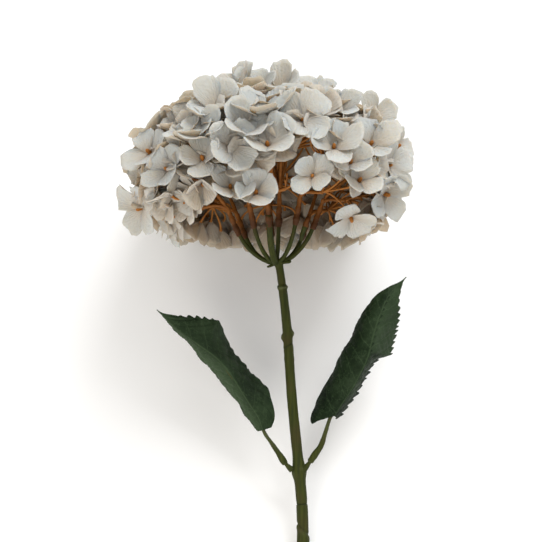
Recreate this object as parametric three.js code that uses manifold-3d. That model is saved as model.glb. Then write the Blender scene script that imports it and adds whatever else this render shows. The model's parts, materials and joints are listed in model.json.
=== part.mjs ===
// Cut hydrangea stem with a full cream flower head and two toothed leaves, laid on its side.
// Millimetres, +Z up. The flower frame used for every piece has its origin at the hub where the
// flower arms leave the neck: X across, Y up the stem into the head, Z out of the laid-down flower.
import * as THREE from "three";
import { mergeVertices } from "three/addons/utils/BufferGeometryUtils.js";
import Module from "manifold-3d";

const wasm = await Module();
wasm.setup();

const rad = THREE.MathUtils.degToRad;
const vec = (x, y, z) => new THREE.Vector3(x, y, z);
const WEB = 0.3; // clear gap between pieces that touch
const SHORTEST_EDGE = 0.05;

// ---------------------------------------------------------------- driving dimensions
const LAY_TILT = rad(16); // slope of the stem when the head and the cut end rest on a table
const STEM_END = -190; // the cut end, below the hub
const STEM_FOOT_RADIUS = 4;
const HUB_HEIGHT = -STEM_END * Math.sin(LAY_TILT) + STEM_FOOT_RADIUS * Math.cos(LAY_TILT);

const HEAD_MIDDLE = vec(-6, 54, 0);
const HEAD_REACH = vec(76, 44, 74); // half widths of the dome that carries the floret centres
const HEAD_SQUARENESS = 2.3; // 2 is an ellipsoid, more is boxier
const PETAL_LENGTH = 17;
const PETAL_THICKNESS = 0.9;
const DOME_FLORETS = 62; // places on the spiral, before the crowded ones are left out
const DOME_RIM = -0.46; // how far the florets run down under the dome's widest level
const FRONT_RIM = 0.02; // the same on the upper side, where the arms show
const KEEP_OFF = 16.5; // least distance to a floret of the hand-placed row
const FRONT_START = 0.25; // share of the upper side that keeps to the front rim
const SUNK = 0.1; // a floret of the spiral stands up to this share under the dome
const LEAN_SPREAD = 44; // degrees over which the draws lean a floret of the spiral
const LEAST_RISE = 24; // its petals rise by this to twice this, in degrees
const LEAST_SIZE = 0.92;
const SIZE_SPREAD = 0.2;
const TABLE_CLEAR = 5; // a floret near the table keeps its centre this far above it

// ---------------------------------------------------------------- solids
/** Closed three.js geometry as a manifold-3d solid. */
function solid(geometry) {
  const bare = geometry.clone();
  bare.deleteAttribute("normal");
  bare.deleteAttribute("uv");
  const merged = mergeVertices(bare, 1e-4);
  return new wasm.Manifold(
    new wasm.Mesh({
      numProp: 3,
      vertProperties: merged.attributes.position.array,
      triVerts: Uint32Array.from(merged.index.array),
    }),
  );
}

/** Manifold-3d solid as a three.js geometry, without edges too short to matter. */
function geometryOf(body) {
  const mesh = body.simplify(SHORTEST_EDGE).getMesh();
  const geometry = new THREE.BufferGeometry();
  geometry.setAttribute("position", new THREE.BufferAttribute(mesh.vertProperties, mesh.numProp));
  geometry.setIndex(new THREE.BufferAttribute(mesh.triVerts, 1));
  return geometry;
}

/** Indexed geometry from points and triangles. */
function shell(points, triangles) {
  const geometry = new THREE.BufferGeometry();
  geometry.setAttribute("position", new THREE.Float32BufferAttribute(points.flatMap((p) => p.toArray()), 3));
  geometry.setIndex(triangles.flat());
  return geometry;
}

const fuse = (bodies) => bodies.reduce((whole, body) => whole.add(body));

/** The largest body of a solid, without the loose scraps and closed pockets that cutting leaves. */
function largest(body) {
  return body.simplify(SHORTEST_EDGE).decompose().sort((a, b) => b.volume() - a.volume())[0];
}

/** Tube along a list of points with a radius at each, closed by flat ends. */
function tube(points, radii, sides) {
  const tangents = points.map((p, i) => {
    const before = points[Math.max(i - 1, 0)];
    const after = points[Math.min(i + 1, points.length - 1)];
    return after.clone().sub(before).normalize();
  });
  const guide = Math.abs(tangents[0].z) < 0.9 ? vec(0, 0, 1) : vec(1, 0, 0);
  let across = guide.cross(tangents[0]).normalize();
  const ring = [];
  points.forEach((p, i) => {
    across = across.addScaledVector(tangents[i], -across.dot(tangents[i])).normalize();
    const other = tangents[i].clone().cross(across);
    for (let k = 0; k < sides; k += 1) {
      const angle = (2 * Math.PI * k) / sides;
      const out = across.clone().multiplyScalar(Math.cos(angle)).addScaledVector(other, Math.sin(angle));
      ring.push(p.clone().addScaledVector(out, radii[i]));
    }
  });
  const triangles = [];
  for (let i = 0; i + 1 < points.length; i += 1) {
    for (let k = 0; k < sides; k += 1) {
      const a = i * sides + k;
      const b = i * sides + ((k + 1) % sides);
      triangles.push([a, b, b + sides], [a, b + sides, a + sides]);
    }
  }
  const last = (points.length - 1) * sides;
  for (let k = 1; k + 1 < sides; k += 1) {
    triangles.push([0, k + 1, k], [last, last + k, last + k + 1]);
  }
  return solid(shell(ring, triangles));
}

/** Value read off a row of [place, value] pairs, straight between them. */
function along(pairs, at) {
  const next = pairs.findIndex(([place]) => place >= at);
  if (next <= 0) return pairs[next === 0 ? 0 : pairs.length - 1][1];
  const [[a, low], [b, high]] = [pairs[next - 1], pairs[next]];
  return low + ((high - low) * (at - a)) / (b - a);
}

/** The point moved straight up, in the laid pose, where it would be lower than a height. */
function settle(point, lowest = 0) {
  const height = HUB_HEIGHT + point.y * Math.sin(LAY_TILT) + point.z * Math.cos(LAY_TILT);
  const up = vec(0, Math.sin(LAY_TILT), Math.cos(LAY_TILT));
  return point.clone().addScaledVector(up, Math.max(lowest - height, 0));
}

/** Repeatable draw between 0 and 1 for the k-th choice about thing i. */
function draw(i, k) {
  const v = Math.sin(12.9898 * i + 78.233 * k) * 43758.5453;
  return v - Math.floor(v);
}

// ---------------------------------------------------------------- where the florets stand
// The florets of the side that faces up: across and along from the head's middle, how far each
// faces to the right and up the stem, its spin and the rise of its petals in degrees, and its size.
const SHOWN_FLORETS = [
  [-70, 9, -35, 25, 30, 28, 1.05],
  [-45, 11, -15, 60, 20, 38, 1.05],
  [-28, 32, -12, 42, 48, 40, 1.2],
  [-11, 16, 0, 38, 30, 34, 1.05],
  [-21, 7, 10, 5, 40, 34, 1.05],
  [7, 30, -45, 45, 10, 36, 1.05],
  [21, 24, 5, 15, 50, 30, 1.2],
  [65, 35, 25, 30, 10, 28, 1],
  [62, 12, 15, 28, 15, 30, 1.15],
  [40, 7, 8, 32, 0, 34, 1.1],
  [27, -10, 0, 5, 45, 30, 0.85],
  [55, -11, 15, 20, 45, 34, 0.95],
  [74, 3, 50, 5, 20, 28, 1.05],
  [-21, -17, 10, 28, -35, 40, 0.95],
  [-6, -20, 8, 15, 10, 38, 0.95],
  [-77, -20, -52, -22, 40, 22, 1.1],
  [51, -30, 25, -55, 45, 20, 0.95],
  [43, 33, 12, 45, 30, 36, 1],
  [80, 17, 55, 25, 0, 28, 0.95],
  [72, -14, 40, -15, 45, 25, 1],
  [-37, 0, -12, 25, 0, 34, 1],
  [1, 7, 0, 35, 45, 32, 1.15],
  [-58, -4, -35, 15, 50, 32, 0.95],
  [29, 47, 10, 60, 20, 40, 1.05],
  [50, -1, 10, 25, 30, 34, 0.95],
  [-56, -19, -55, 45, 15, 30, 1],
  [-4, 26, 0, 60, 20, 38, 1.1],
  [-36, 15, -10, 40, 60, 34, 1],
  [-15, 54, -45, 40, 4, 42, 1.1],
  [-5, 53, -10, 48, 2, 40, 1],
  [9, 52, -30, 44, 6, 42, 1.1],
];
const SHOWN_SEED = 1000;

/** Outward direction of the dome at a place on it. */
function domeNormal(place) {
  const slope = (v, reach) => (Math.sign(v) * Math.abs(v / reach) ** (HEAD_SQUARENESS - 1)) / reach;
  const { x, y, z } = HEAD_REACH;
  return vec(slope(place.x, x), slope(place.y, y), slope(place.z, z)).normalize();
}

/** The direction out of the laid flower, turned to the right about Y and up the stem. */
const facing = (right, up) => vec(Math.sin(rad(right)), Math.tan(rad(up)), Math.cos(rad(right))).normalize();

/** A direction leaned to the right about Y, then up the stem about the level axis across it. */
function lean(normal, right, up) {
  const turned = normal.clone().applyAxisAngle(vec(0, 1, 0), rad(right));
  const level = turned.clone().cross(vec(0, 1, 0)).normalize();
  return turned.applyAxisAngle(level, rad(up)).normalize();
}

/** One floret: centre, facing direction, two axes of its plane, and its own choices. */
function floret(place, normal, spin, rise, size, seed) {
  const guide = Math.abs(normal.y) < 0.9 ? vec(0, 1, 0) : vec(1, 0, 0);
  const right = guide.cross(normal).normalize();
  const centre = settle(place.clone().add(HEAD_MIDDLE), TABLE_CLEAR);
  return { centre, normal, right, up: normal.clone().cross(right), spin, rise, size, seed };
}

/** The hand-placed florets, then those of the spiral that stand clear of them. */
function placeFlorets() {
  const shown = SHOWN_FLORETS.map(([x, y, right, up, spin, rise, size], n) => {
    const [across, along] = [x / HEAD_REACH.x, y / HEAD_REACH.y].map((v) => Math.abs(v) ** HEAD_SQUARENESS);
    const place = vec(x, y, HEAD_REACH.z * Math.max(1 - across - along, 0) ** (1 / HEAD_SQUARENESS));
    return { place, made: floret(place, facing(right, up), spin, rise, size, SHOWN_SEED + n) };
  });
  const golden = Math.PI * (3 - Math.sqrt(5));
  const dome = [];
  for (let i = 0; i < DOME_FLORETS; i += 1) {
    const rise = 1 - ((1 - DOME_RIM) * (i + 0.5)) / DOME_FLORETS;
    const ring = Math.sqrt(1 - rise * rise);
    const way = vec(ring * Math.cos(i * golden), rise, ring * Math.sin(i * golden));
    if (way.z > FRONT_START && rise < FRONT_RIM) continue;
    const power = way.toArray().reduce(
      (sum, v, axis) => sum + Math.abs(v / HEAD_REACH.getComponent(axis)) ** HEAD_SQUARENESS, 0);
    const place = way.multiplyScalar(power ** (-1 / HEAD_SQUARENESS) * (1 - SUNK * draw(i, 1)));
    if (shown.some((other) => other.place.distanceTo(place) < KEEP_OFF)) continue;
    const [right, up] = [2, 3].map((choice) => LEAN_SPREAD * (draw(i, choice) - 0.5));
    const petals = [90 * draw(i, 4), LEAST_RISE * (1 + draw(i, 5)), LEAST_SIZE + SIZE_SPREAD * draw(i, 6)];
    dome.push(floret(place, lean(domeNormal(place), right, up), ...petals, i));
  }
  return [...shown.map(({ made }) => made), ...dome];
}

// ---------------------------------------------------------------- florets
const EYE_RADIUS = 2.3; // flat middle of a floret, where its twig is sunk in
// A petal's rim as [share of its length, degrees off its middle line].
const PETAL_RIM = [[0.42, -45], [0.88, -29], [1, 0], [0.88, 29]];
const PETAL_CUP = 0.5; // rise of a petal's sides
const TURN_SPREAD = 14; // degrees over which the draws turn a petal in its plane
const PITCH_SPREAD = 24; // and pitch it out of its plane
const LENGTH_SPREAD = 0.16;
const DROOP_SPREAD = 0.3;

/** A four-petalled floret as one cupped plate. */
function floretPlate({ centre, normal, right, up, spin, rise, size, seed }) {
  const half = PETAL_THICKNESS / 2;
  const facesUp = normal.y * Math.sin(LAY_TILT) + normal.z * Math.cos(LAY_TILT) > 0;
  const outside = [];
  const inside = [];
  const place = (reach, angle, height) => {
    const middle = centre.clone().addScaledVector(right, reach * Math.cos(angle))
      .addScaledVector(up, reach * Math.sin(angle)).addScaledVector(normal, height);
    outside.push(settle(middle.clone().addScaledVector(normal, half), facesUp ? PETAL_THICKNESS : 0));
    inside.push(settle(middle.addScaledVector(normal, -half), facesUp ? 0 : PETAL_THICKNESS));
  };
  for (let k = 0; k < 4; k += 1) place(EYE_RADIUS, rad(spin + 90 * k - 45), 0);
  for (let k = 0; k < 4; k += 1) {
    const turn = rad(spin + 90 * k + TURN_SPREAD * (draw(seed, 10 + k) - 0.5));
    const length = PETAL_LENGTH * size * (1 + LENGTH_SPREAD * (draw(seed, 20 + k) - 0.5));
    const pitch = rad(rise + PITCH_SPREAD * (draw(seed, 30 + k) - 0.5));
    const droop = DROOP_SPREAD * (draw(seed, 40 + k) - 0.35);
    PETAL_RIM.forEach(([share, off]) => {
      const side = share * Math.sin(rad(off));
      const out = share * Math.cos(rad(off));
      const level = out * Math.cos(pitch);
      const height = length * (out * Math.sin(pitch) - droop * out * out + PETAL_CUP * side * side);
      place(length * Math.hypot(level, side), turn + Math.atan2(side, level), height);
    });
  }
  const count = outside.length;
  const rim = 4 * PETAL_RIM.length;
  const triangles = [];
  const both = (m, n, o) => triangles.push([m, n, o], [count + m, count + o, count + n]);
  both(0, 1, 2);
  both(0, 2, 3);
  for (let a = 0; a < rim; a += 1) {
    const eye = Math.floor(a / PETAL_RIM.length);
    const inPetal = a % PETAL_RIM.length;
    const next = (a + 1) % rim;
    both(inPetal < 2 ? eye : (eye + 1) % 4, 4 + a, 4 + next);
    if (inPetal === 2) both(eye, 4 + a, (eye + 1) % 4);
    triangles.push([4 + a, count + 4 + a, count + 4 + next], [4 + a, count + 4 + next, 4 + next]);
  }
  return solid(shell([...outside, ...inside], triangles));
}

// ---------------------------------------------------------------- green arms and amber sprays
// Where each arm ends, and the place on the head that its spray grows towards.
const ARMS = [
  { end: vec(-24.8, 20.5, 7), aim: vec(-72, 52, 8) },
  { end: vec(-20.5, 20.5, -13), aim: vec(-46, 56, -52) },
  { end: vec(-14.5, 24.5, 17), aim: vec(-42, 60, 50) },
  { end: vec(-4.5, 25, 22), aim: vec(-2, 58, 66) },
  { end: vec(1.8, 27, 3), aim: vec(-4, 104, 4) },
  { end: vec(-3, 23, -20), aim: vec(0, 58, -68) },
  { end: vec(12.8, 27, 13), aim: vec(36, 64, 50) },
  { end: vec(24.5, 25, 5), aim: vec(70, 52, 8) },
  { end: vec(17.5, 20, -14), aim: vec(46, 56, -54) },
];
const ARM_RADIUS = 1.25;
const ARM_STEPS = 5;
const ARM_SIDES = 6;
const SOCKET_DEPTH = 4;
const FAN_FOOT = vec(0, 6, 0); // the sprays fan out from here, so none crosses another
const FORK_DISTANCE = 13;
const SOCKET = [[-SOCKET_DEPTH, 2.2], [-1, 2.6], [5, 2.2], [FORK_DISTANCE, 1.5]];
const BRANCH_RADIUS = 1.3;
const TWIG_RADIUS = 1.1;
const TWIGS_A_BRANCH = 3;
const BRANCH_SHARE = 0.42; // how far a branch reaches towards the middle of its florets
const TWIG_SINK = 0.08; // a twig starts this share of the branch back from its joint

/** Curve of an arm: out of the hub nearly level, then up. */
function armCurve({ end }) {
  const start = vec(0.06 * end.x, -0.5, 0.06 * end.z);
  const bend = vec(0.66 * end.x, 0.08 * end.y, 0.66 * end.z);
  return new THREE.QuadraticBezierCurve3(start, bend, end);
}

const TWIG_NECK = 5; // a twig turns to face its floret this far under it

/** Direction of a place as seen from the fan's foot. */
const wayTo = (place) => place.clone().sub(FAN_FOOT).normalize();

/** The florets that each arm's spray carries: those nearest its aim as seen from the fan's foot. */
function shareFlorets(florets) {
  const shares = ARMS.map(() => []);
  florets.forEach((one) => {
    const way = wayTo(one.centre.clone().addScaledVector(one.normal, -TWIG_NECK));
    const likeness = ARMS.map(({ aim }) => way.dot(wayTo(aim)));
    shares[likeness.indexOf(Math.max(...likeness))].push(one);
  });
  return shares;
}

/** A spray trimmed to its own cone of the head, halfway to each neighbour. */
function trimmed(body, arm) {
  return ARMS.filter((other) => other !== arm).reduce((rest, other) => {
    const facing = wayTo(arm.aim).sub(wayTo(other.aim)).normalize();
    return rest.trimByPlane(facing.toArray(), facing.dot(FAN_FOOT) + WEB / 2);
  }, body);
}

/** A spray: socket over the arm's end, branches, and a twig and a plate for each floret. */
function spray(arm, florets) {
  const way = armCurve(arm).getTangent(1);
  const fork = arm.end.clone().addScaledVector(way, FORK_DISTANCE);
  const parts = [tube(SOCKET.map(([at]) => arm.end.clone().addScaledVector(way, at)),
    SOCKET.map(([, radius]) => radius), 6)];
  const axis = wayTo(arm.aim);
  const level = axis.clone().cross(vec(0, 1, 0.01)).normalize();
  const other = axis.clone().cross(level);
  const angle = ({ centre }) => {
    const off = centre.clone().sub(fork);
    return Math.atan2(off.dot(other), off.dot(level));
  };
  const sorted = [...florets].sort((a, b) => angle(a) - angle(b));
  for (let first = 0; first < sorted.length; first += TWIGS_A_BRANCH) {
    const few = sorted.slice(first, first + TWIGS_A_BRANCH);
    const mean = few.reduce((sum, { centre }) => sum.add(centre), vec(0, 0, 0)).divideScalar(few.length);
    const joint = fork.clone().lerp(mean, BRANCH_SHARE);
    parts.push(tube([fork.clone().addScaledVector(way, -1), joint], [BRANCH_RADIUS, BRANCH_RADIUS], 4));
    few.forEach((one) => {
      const foot = joint.clone().lerp(fork, TWIG_SINK);
      const under = one.centre.clone().addScaledVector(one.normal, -TWIG_NECK);
      parts.push(tube([foot, under, one.centre], [TWIG_RADIUS, TWIG_RADIUS, TWIG_RADIUS], 3));
      parts.push(floretPlate(one));
    });
  }
  return fuse(parts);
}

const armTube = (arm, extra = 0) => {
  const points = armCurve(arm).getPoints(ARM_STEPS);
  return tube(points, points.map(() => ARM_RADIUS + extra), ARM_SIDES);
};

// ---------------------------------------------------------------- stem
// Line of the stem from hub to cut end, and its radius by the distance below the hub.
const STEM_LINE = [
  vec(0.6, 1.5, 0), vec(1.6, -1, 0), vec(4.1, -17, 0), vec(6.8, -42, 0), vec(9.9, -85, 0),
  vec(13.6, -123, 0), vec(15.8, -149, 0), vec(16.5, -173, 0), vec(16.6, STEM_END, 0),
];
const STEM_RADIUS = [
  [-1.5, 2.6], [0.5, 3.3], [3, 2.5], [14, 2.4], [15, 3.2], [16.6, 3.3], [17.6, 2.75], [42, 2.9],
  [45, 3.7], [48, 3.2], [51, 2.9], [57, 3], [60, 3.2], [62, 3.05], [120, 3.3], [124, 3.9], [130, 4.3],
  [134, 3.5], [146, 3.6], [149, 3.4], [151, 3.7], [163, 3.7], [167, 4.1], [172, 3.9],
  [-STEM_END, STEM_FOOT_RADIUS],
];
const STEM_SIDES = 12;
// Joints of the stem, from the hub down: place, slope of the joint, and radius of the spigot.
const NECK_JOINT = { below: 15, slope: 0, spigot: 1.5 };
const UPPER_JOINT = { below: 52, slope: -30, spigot: 1.7 };
const LOWER_JOINT = { below: 149, slope: 0, spigot: 1.9 };
const SPIGOT_REACH = 6;

const stemCurve = new THREE.CatmullRomCurve3(STEM_LINE);
const STEM_STEPS = 400; // points at which the stem's line is looked up

/** Point and direction of the stem at a distance below the hub. */
function stemAt(below) {
  const points = stemCurve.getSpacedPoints(STEM_STEPS);
  const index = points.findIndex(({ y }) => y <= -below);
  const at = index < 0 ? STEM_STEPS : index;
  return { point: points[at], way: stemCurve.getTangentAt(at / STEM_STEPS) };
}

/** The whole stem, before its joints are cut. */
function stemBlank() {
  const points = STEM_RADIUS.map(([below]) => (below < 0 ? STEM_LINE[0] : stemAt(below).point));
  return tube(points, STEM_RADIUS.map(([, radius]) => radius), STEM_SIDES);
}

/** Everything on one side of a joint, as a large block whose face is the joint. */
function beyond({ below, slope }, side) {
  const size = 400;
  const { point } = stemAt(below);
  const block = new THREE.BoxGeometry(size, size, size);
  block.translate(0, (side * (size + WEB)) / 2, 0);
  block.rotateZ(rad(slope));
  block.translate(point.x, point.y, point.z);
  return solid(block);
}

/** Round spigot across a joint, standing up into the piece above. */
function spigot({ below, spigot: radius }, extra = 0) {
  const { point, way } = stemAt(below);
  const points = [SPIGOT_REACH, -SPIGOT_REACH - extra].map((at) => point.clone().addScaledVector(way, at));
  return tube(points, [radius + extra, radius + extra], 8);
}

// ---------------------------------------------------------------- leaves and their stalks
const LEAF_THICKNESS = 0.7;
const LEAF_WIDTH = 33; // scale of a half-blade's width, which is three quarters of this at most
const TIP_START = 5; // the higher, the nearer to the tip the blade starts to narrow
const TIP_DRAW = 2.2; // the higher, the more the tip is drawn out
const LEAF_TEETH = 14;
const TOOTH = [[0, 0.86], [0.72, 1]]; // [place in the tooth, share of the half width]
const LEAF_START = 0.02; // the first row of points lies this far up the midrib
const LEAF_RUN = 0.955; // and the last one this much further on
const LOBE_REACH = 0.25; // the base's lobes sweep back from below this share of the length
const LEAVES = {
  left: {
    midrib: [
      vec(-7.4, -106, 3), vec(-10.8, -96.5, 4.5), vec(-17, -87, 7), vec(-22.4, -78.5, 9), vec(-28, -69.5, 11),
      vec(-36, -60.5, 13), vec(-49, -51, 14), vec(-61.5, -41.5, 12), vec(-73.8, -29.8, 6),
    ],
    peg: vec(8.3, -127, 1.5),
    sleeveEnd: vec(5.7, -124.6, 2),
    sleeveTop: vec(1.8, -118.5, 3),
    bluntness: 0.45,
    // By share of the length: slope of the half-blade at the midrib and how far it curls on, in
    // degrees. The lobe is how far the half sweeps back at the base, as a share of its width.
    right: {
      slope: [[0, 10], [0.2, 15], [0.3, 46], [0.4, 58], [0.5, 56], [0.58, 40], [0.65, 12], [1, 5]],
      curl: [[0, 15], [1, 12]],
      lobe: 0,
    },
    left: {
      slope: [[0, 30], [0.1, 35], [0.2, 52], [0.35, 48], [0.5, 50], [0.6, 55], [0.68, 72], [0.75, 82],
        [1, 80]],
      curl: [[0, 50], [0.2, 45], [0.5, 45], [0.6, 42], [0.68, 20], [0.75, 10], [1, 8]],
      lobe: 0,
    },
  },
  right: {
    midrib: [
      vec(34.6, -97, 3), vec(40, -88.5, 5), vec(46, -79.5, 8), vec(51.2, -70, 11), vec(55.8, -60, 14),
      vec(59.2, -47, 15), vec(63.2, -34.5, 15), vec(69, -22, 12), vec(80.6, -9.4, 5),
    ],
    peg: vec(18.1, -127, 1.5),
    sleeveEnd: vec(20.8, -123.4, 2),
    sleeveTop: vec(27.5, -113.5, 3),
    bluntness: 0.3,
    right: {
      slope: [[0, 72], [0.36, 74], [0.42, 69], [0.47, 50], [0.6, 49], [0.7, 42], [0.85, 28], [1, 20]],
      curl: [[0, 14], [1, 12]],
      lobe: 0.2,
    },
    left: {
      slope: [[0, 0], [0.41, 2], [0.56, 20], [1, 18]],
      curl: [[0, 60], [0.2, 80], [0.41, 96], [0.56, 85], [1, 85]],
      lobe: 1.3,
    },
  },
};

/** Half width of a leaf's blade: blunt at the base, widest in the middle, drawn out to the tip. */
function halfWidth({ bluntness }, share) {
  return LEAF_WIDTH * share ** bluntness * (1 - share ** TIP_START) ** TIP_DRAW;
}

/** Point, direction, side and facing of a leaf's midrib at a share of its length. */
function midribAt(leaf, share) {
  const rib = new THREE.CatmullRomCurve3(leaf.midrib);
  const way = rib.getTangentAt(share);
  const side = way.clone().cross(vec(0, 0, 1)).normalize();
  return { at: rib.getPointAt(share), way, side, face: side.clone().cross(way) };
}

/** A toothed leaf blade: each half leaves the midrib at its own slope and curls on at an even rate. */
function leafBlade(leaf) {
  const rows = [];
  for (let tooth = 0; tooth < LEAF_TEETH; tooth += 1) {
    TOOTH.forEach(([at, edge]) => rows.push([tooth + at, edge]));
  }
  const last = rows[rows.length - 1][0];
  const columns = [-1, -0.7, -0.35, 0, 0.4, 1];
  const top = [];
  const under = [];
  rows.forEach(([tooth, edge]) => {
    const share = LEAF_START + (LEAF_RUN * tooth) / last;
    const { at, way, side, face } = midribAt(leaf, share);
    const width = halfWidth(leaf, share);
    columns.forEach((column) => {
      const hand = Math.sign(column);
      const half = column < 0 ? leaf.left : leaf.right;
      const far = Math.abs(column) * width * (Math.abs(column) === 1 ? edge : 1);
      const slope = rad(along(half.slope, share));
      const rate = rad(along(half.curl, share)) / width;
      const end = slope + rate * far;
      const out = (Math.sin(end) - Math.sin(slope)) / rate;
      const down = (Math.cos(slope) - Math.cos(end)) / rate;
      const point = at.clone().addScaledVector(side, hand * out).addScaledVector(face, -down);
      point.addScaledVector(way, -half.lobe * Math.max(1 - share / LOBE_REACH, 0) * far);
      const up = face.clone().multiplyScalar(hand ? Math.cos(end) : 1);
      up.addScaledVector(side, hand * Math.sin(end));
      top.push(point.clone().addScaledVector(up, LEAF_THICKNESS / 2));
      under.push(point.clone().addScaledVector(up, -LEAF_THICKNESS / 2));
    });
  });
  return solid(plate(top, under, rows.length, columns.length));
}

/** Closed plate between two grids of points that have the same rows and columns. */
function plate(top, under, rows, columns) {
  const count = top.length;
  const triangles = [];
  const both = (a, b, c) => triangles.push([a, b, c], [count + a, count + c, count + b]);
  for (let r = 0; r + 1 < rows; r += 1) {
    for (let c = 0; c + 1 < columns; c += 1) {
      const a = r * columns + c;
      both(a, a + 1, a + columns + 1);
      both(a, a + columns + 1, a + columns);
    }
  }
  const loop = [];
  for (let c = 0; c + 1 < columns; c += 1) loop.push(c);
  for (let r = 0; r + 1 < rows; r += 1) loop.push(r * columns + columns - 1);
  for (let c = columns - 1; c > 0; c -= 1) loop.push((rows - 1) * columns + c);
  for (let r = rows - 1; r > 0; r -= 1) loop.push(r * columns);
  loop.forEach((a, i) => {
    const b = loop[(i + 1) % loop.length];
    triangles.push([a, count + a, count + b], [a, count + b, b]);
  });
  return shell([...top, ...under], triangles);
}

const PEG_RADIUS = 1.5;
const PEG_STUB_RADIUS = 1.1;
const SLEEVE_RADIUS = 2.1;
const STALK = [[0, 1.1], [0.08, 0.9], [0.16, 0.6]]; // [share of the blade's length, radius] under the blade

/** Stub on the stem's node that a leaf stalk's sleeve is pushed over. */
function leafStub(leaf, extra = 0) {
  const tip = leaf.sleeveEnd.clone().lerp(leaf.sleeveTop, 0.45);
  const root = leaf.peg.clone().lerp(leaf.sleeveEnd, -0.6);
  return tube([root, leaf.peg, leaf.sleeveEnd, tip],
    [PEG_RADIUS, PEG_RADIUS, PEG_STUB_RADIUS, PEG_STUB_RADIUS].map((radius) => radius + extra), 6);
}

const RIB_DROP = 2.5; // the stalk's rib runs this far behind the blade, clear of its sloping halves

/** Leaf stalk: sleeve at the stem end, and a thin rib that runs in under the blade between its halves. */
function petiole(leaf) {
  const back = (share) => {
    const { at, side, face } = midribAt(leaf, share);
    const [right, left] = [leaf.right, leaf.left].map(({ slope }) => rad(along(slope, share)));
    const away = face.multiplyScalar(Math.cos(right) + Math.cos(left));
    away.addScaledVector(side, Math.sin(right) - Math.sin(left));
    return at.addScaledVector(away.normalize(), -RIB_DROP);
  };
  const points = [leaf.sleeveEnd, leaf.sleeveEnd.clone().lerp(leaf.sleeveTop, 0.5), leaf.sleeveTop,
    leaf.sleeveTop.clone().lerp(back(0), 0.5), ...STALK.map(([share]) => back(share))];
  const radii = [SLEEVE_RADIUS, SLEEVE_RADIUS, 1.7, 1.2, ...STALK.map(([, radius]) => radius)];
  return tube(points, radii, 8).subtract(leafStub(leaf, WEB));
}

// ---------------------------------------------------------------- materials and assembly
const FINISH = {
  stem: new THREE.MeshStandardMaterial({ color: 0x41441f, roughness: 0.55 }),
  petal: new THREE.MeshStandardMaterial({ color: 0xd6d2c6, roughness: 0.8, side: THREE.DoubleSide }),
  leaf: new THREE.MeshStandardMaterial({ color: 0x2a3622, roughness: 0.7 }),
};

const flower = new THREE.Group();
flower.rotation.x = LAY_TILT;

/** Adds a solid to the flower as a named mesh. */
function piece(name, body, finish) {
  const mesh = new THREE.Mesh(geometryOf(body), finish);
  mesh.name = name;
  flower.add(mesh);
}

const shares = shareFlorets(placeFlorets());
const armSolids = ARMS.map((arm) => armTube(arm));
const blank = stemBlank();

const neck = blank.intersect(beyond(NECK_JOINT, 1));
piece("flower_arms", fuse([neck, ...armSolids]).subtract(spigot(NECK_JOINT, WEB)), FINISH.stem);
piece("stem_top", blank.intersect(beyond(NECK_JOINT, -1)).intersect(beyond(UPPER_JOINT, 1))
  .add(spigot(NECK_JOINT)).subtract(spigot(UPPER_JOINT, WEB)), FINISH.stem);
piece("stem_middle", fuse([
  blank.intersect(beyond(UPPER_JOINT, -1)).intersect(beyond(LOWER_JOINT, 1)),
  spigot(UPPER_JOINT), leafStub(LEAVES.left), leafStub(LEAVES.right),
]).subtract(spigot(LOWER_JOINT, WEB)), FINISH.stem);
piece("stem_foot", blank.intersect(beyond(LOWER_JOINT, -1)).add(spigot(LOWER_JOINT)), FINISH.stem);

const clearOfArms = fuse(ARMS.map((arm) => armTube(arm, WEB)));
ARMS.forEach((arm, j) => {
  piece(`spray_${j + 1}`, largest(trimmed(spray(arm, shares[j]), arm).subtract(clearOfArms)), FINISH.petal);
});

Object.entries(LEAVES).forEach(([hand, leaf]) => {
  piece(`leaf_${hand}`, leafBlade(leaf), FINISH.leaf);
  piece(`petiole_${hand}`, petiole(leaf), FINISH.stem);
});

// The part stands on its origin: middle of its outline at the table's level.
flower.updateMatrixWorld(true);
const extent = new THREE.Box3().setFromObject(flower, true);
const middle = extent.getCenter(vec(0, 0, 0));
flower.position.set(-middle.x, -middle.y, -extent.min.z);

export default flower;
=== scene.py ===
"""Looks of a cut hydrangea stem laid on its side: cream petals, amber twigs, green stem and leaves.

Every piece is worked out in the flower's own frame, in millimetres: the origin is the hub where
the flower arms leave the neck, X runs across, Y up the stem into the head and Z out of the upper
side of the laid flower. The last step of each piece turns it by the slope of the laid stem, moves
it to the hub's place over the table and changes it to metres.
"""
from __future__ import annotations

import json
import logging
import math
from dataclasses import dataclass, field
from enum import Enum
from typing import Sequence

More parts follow.
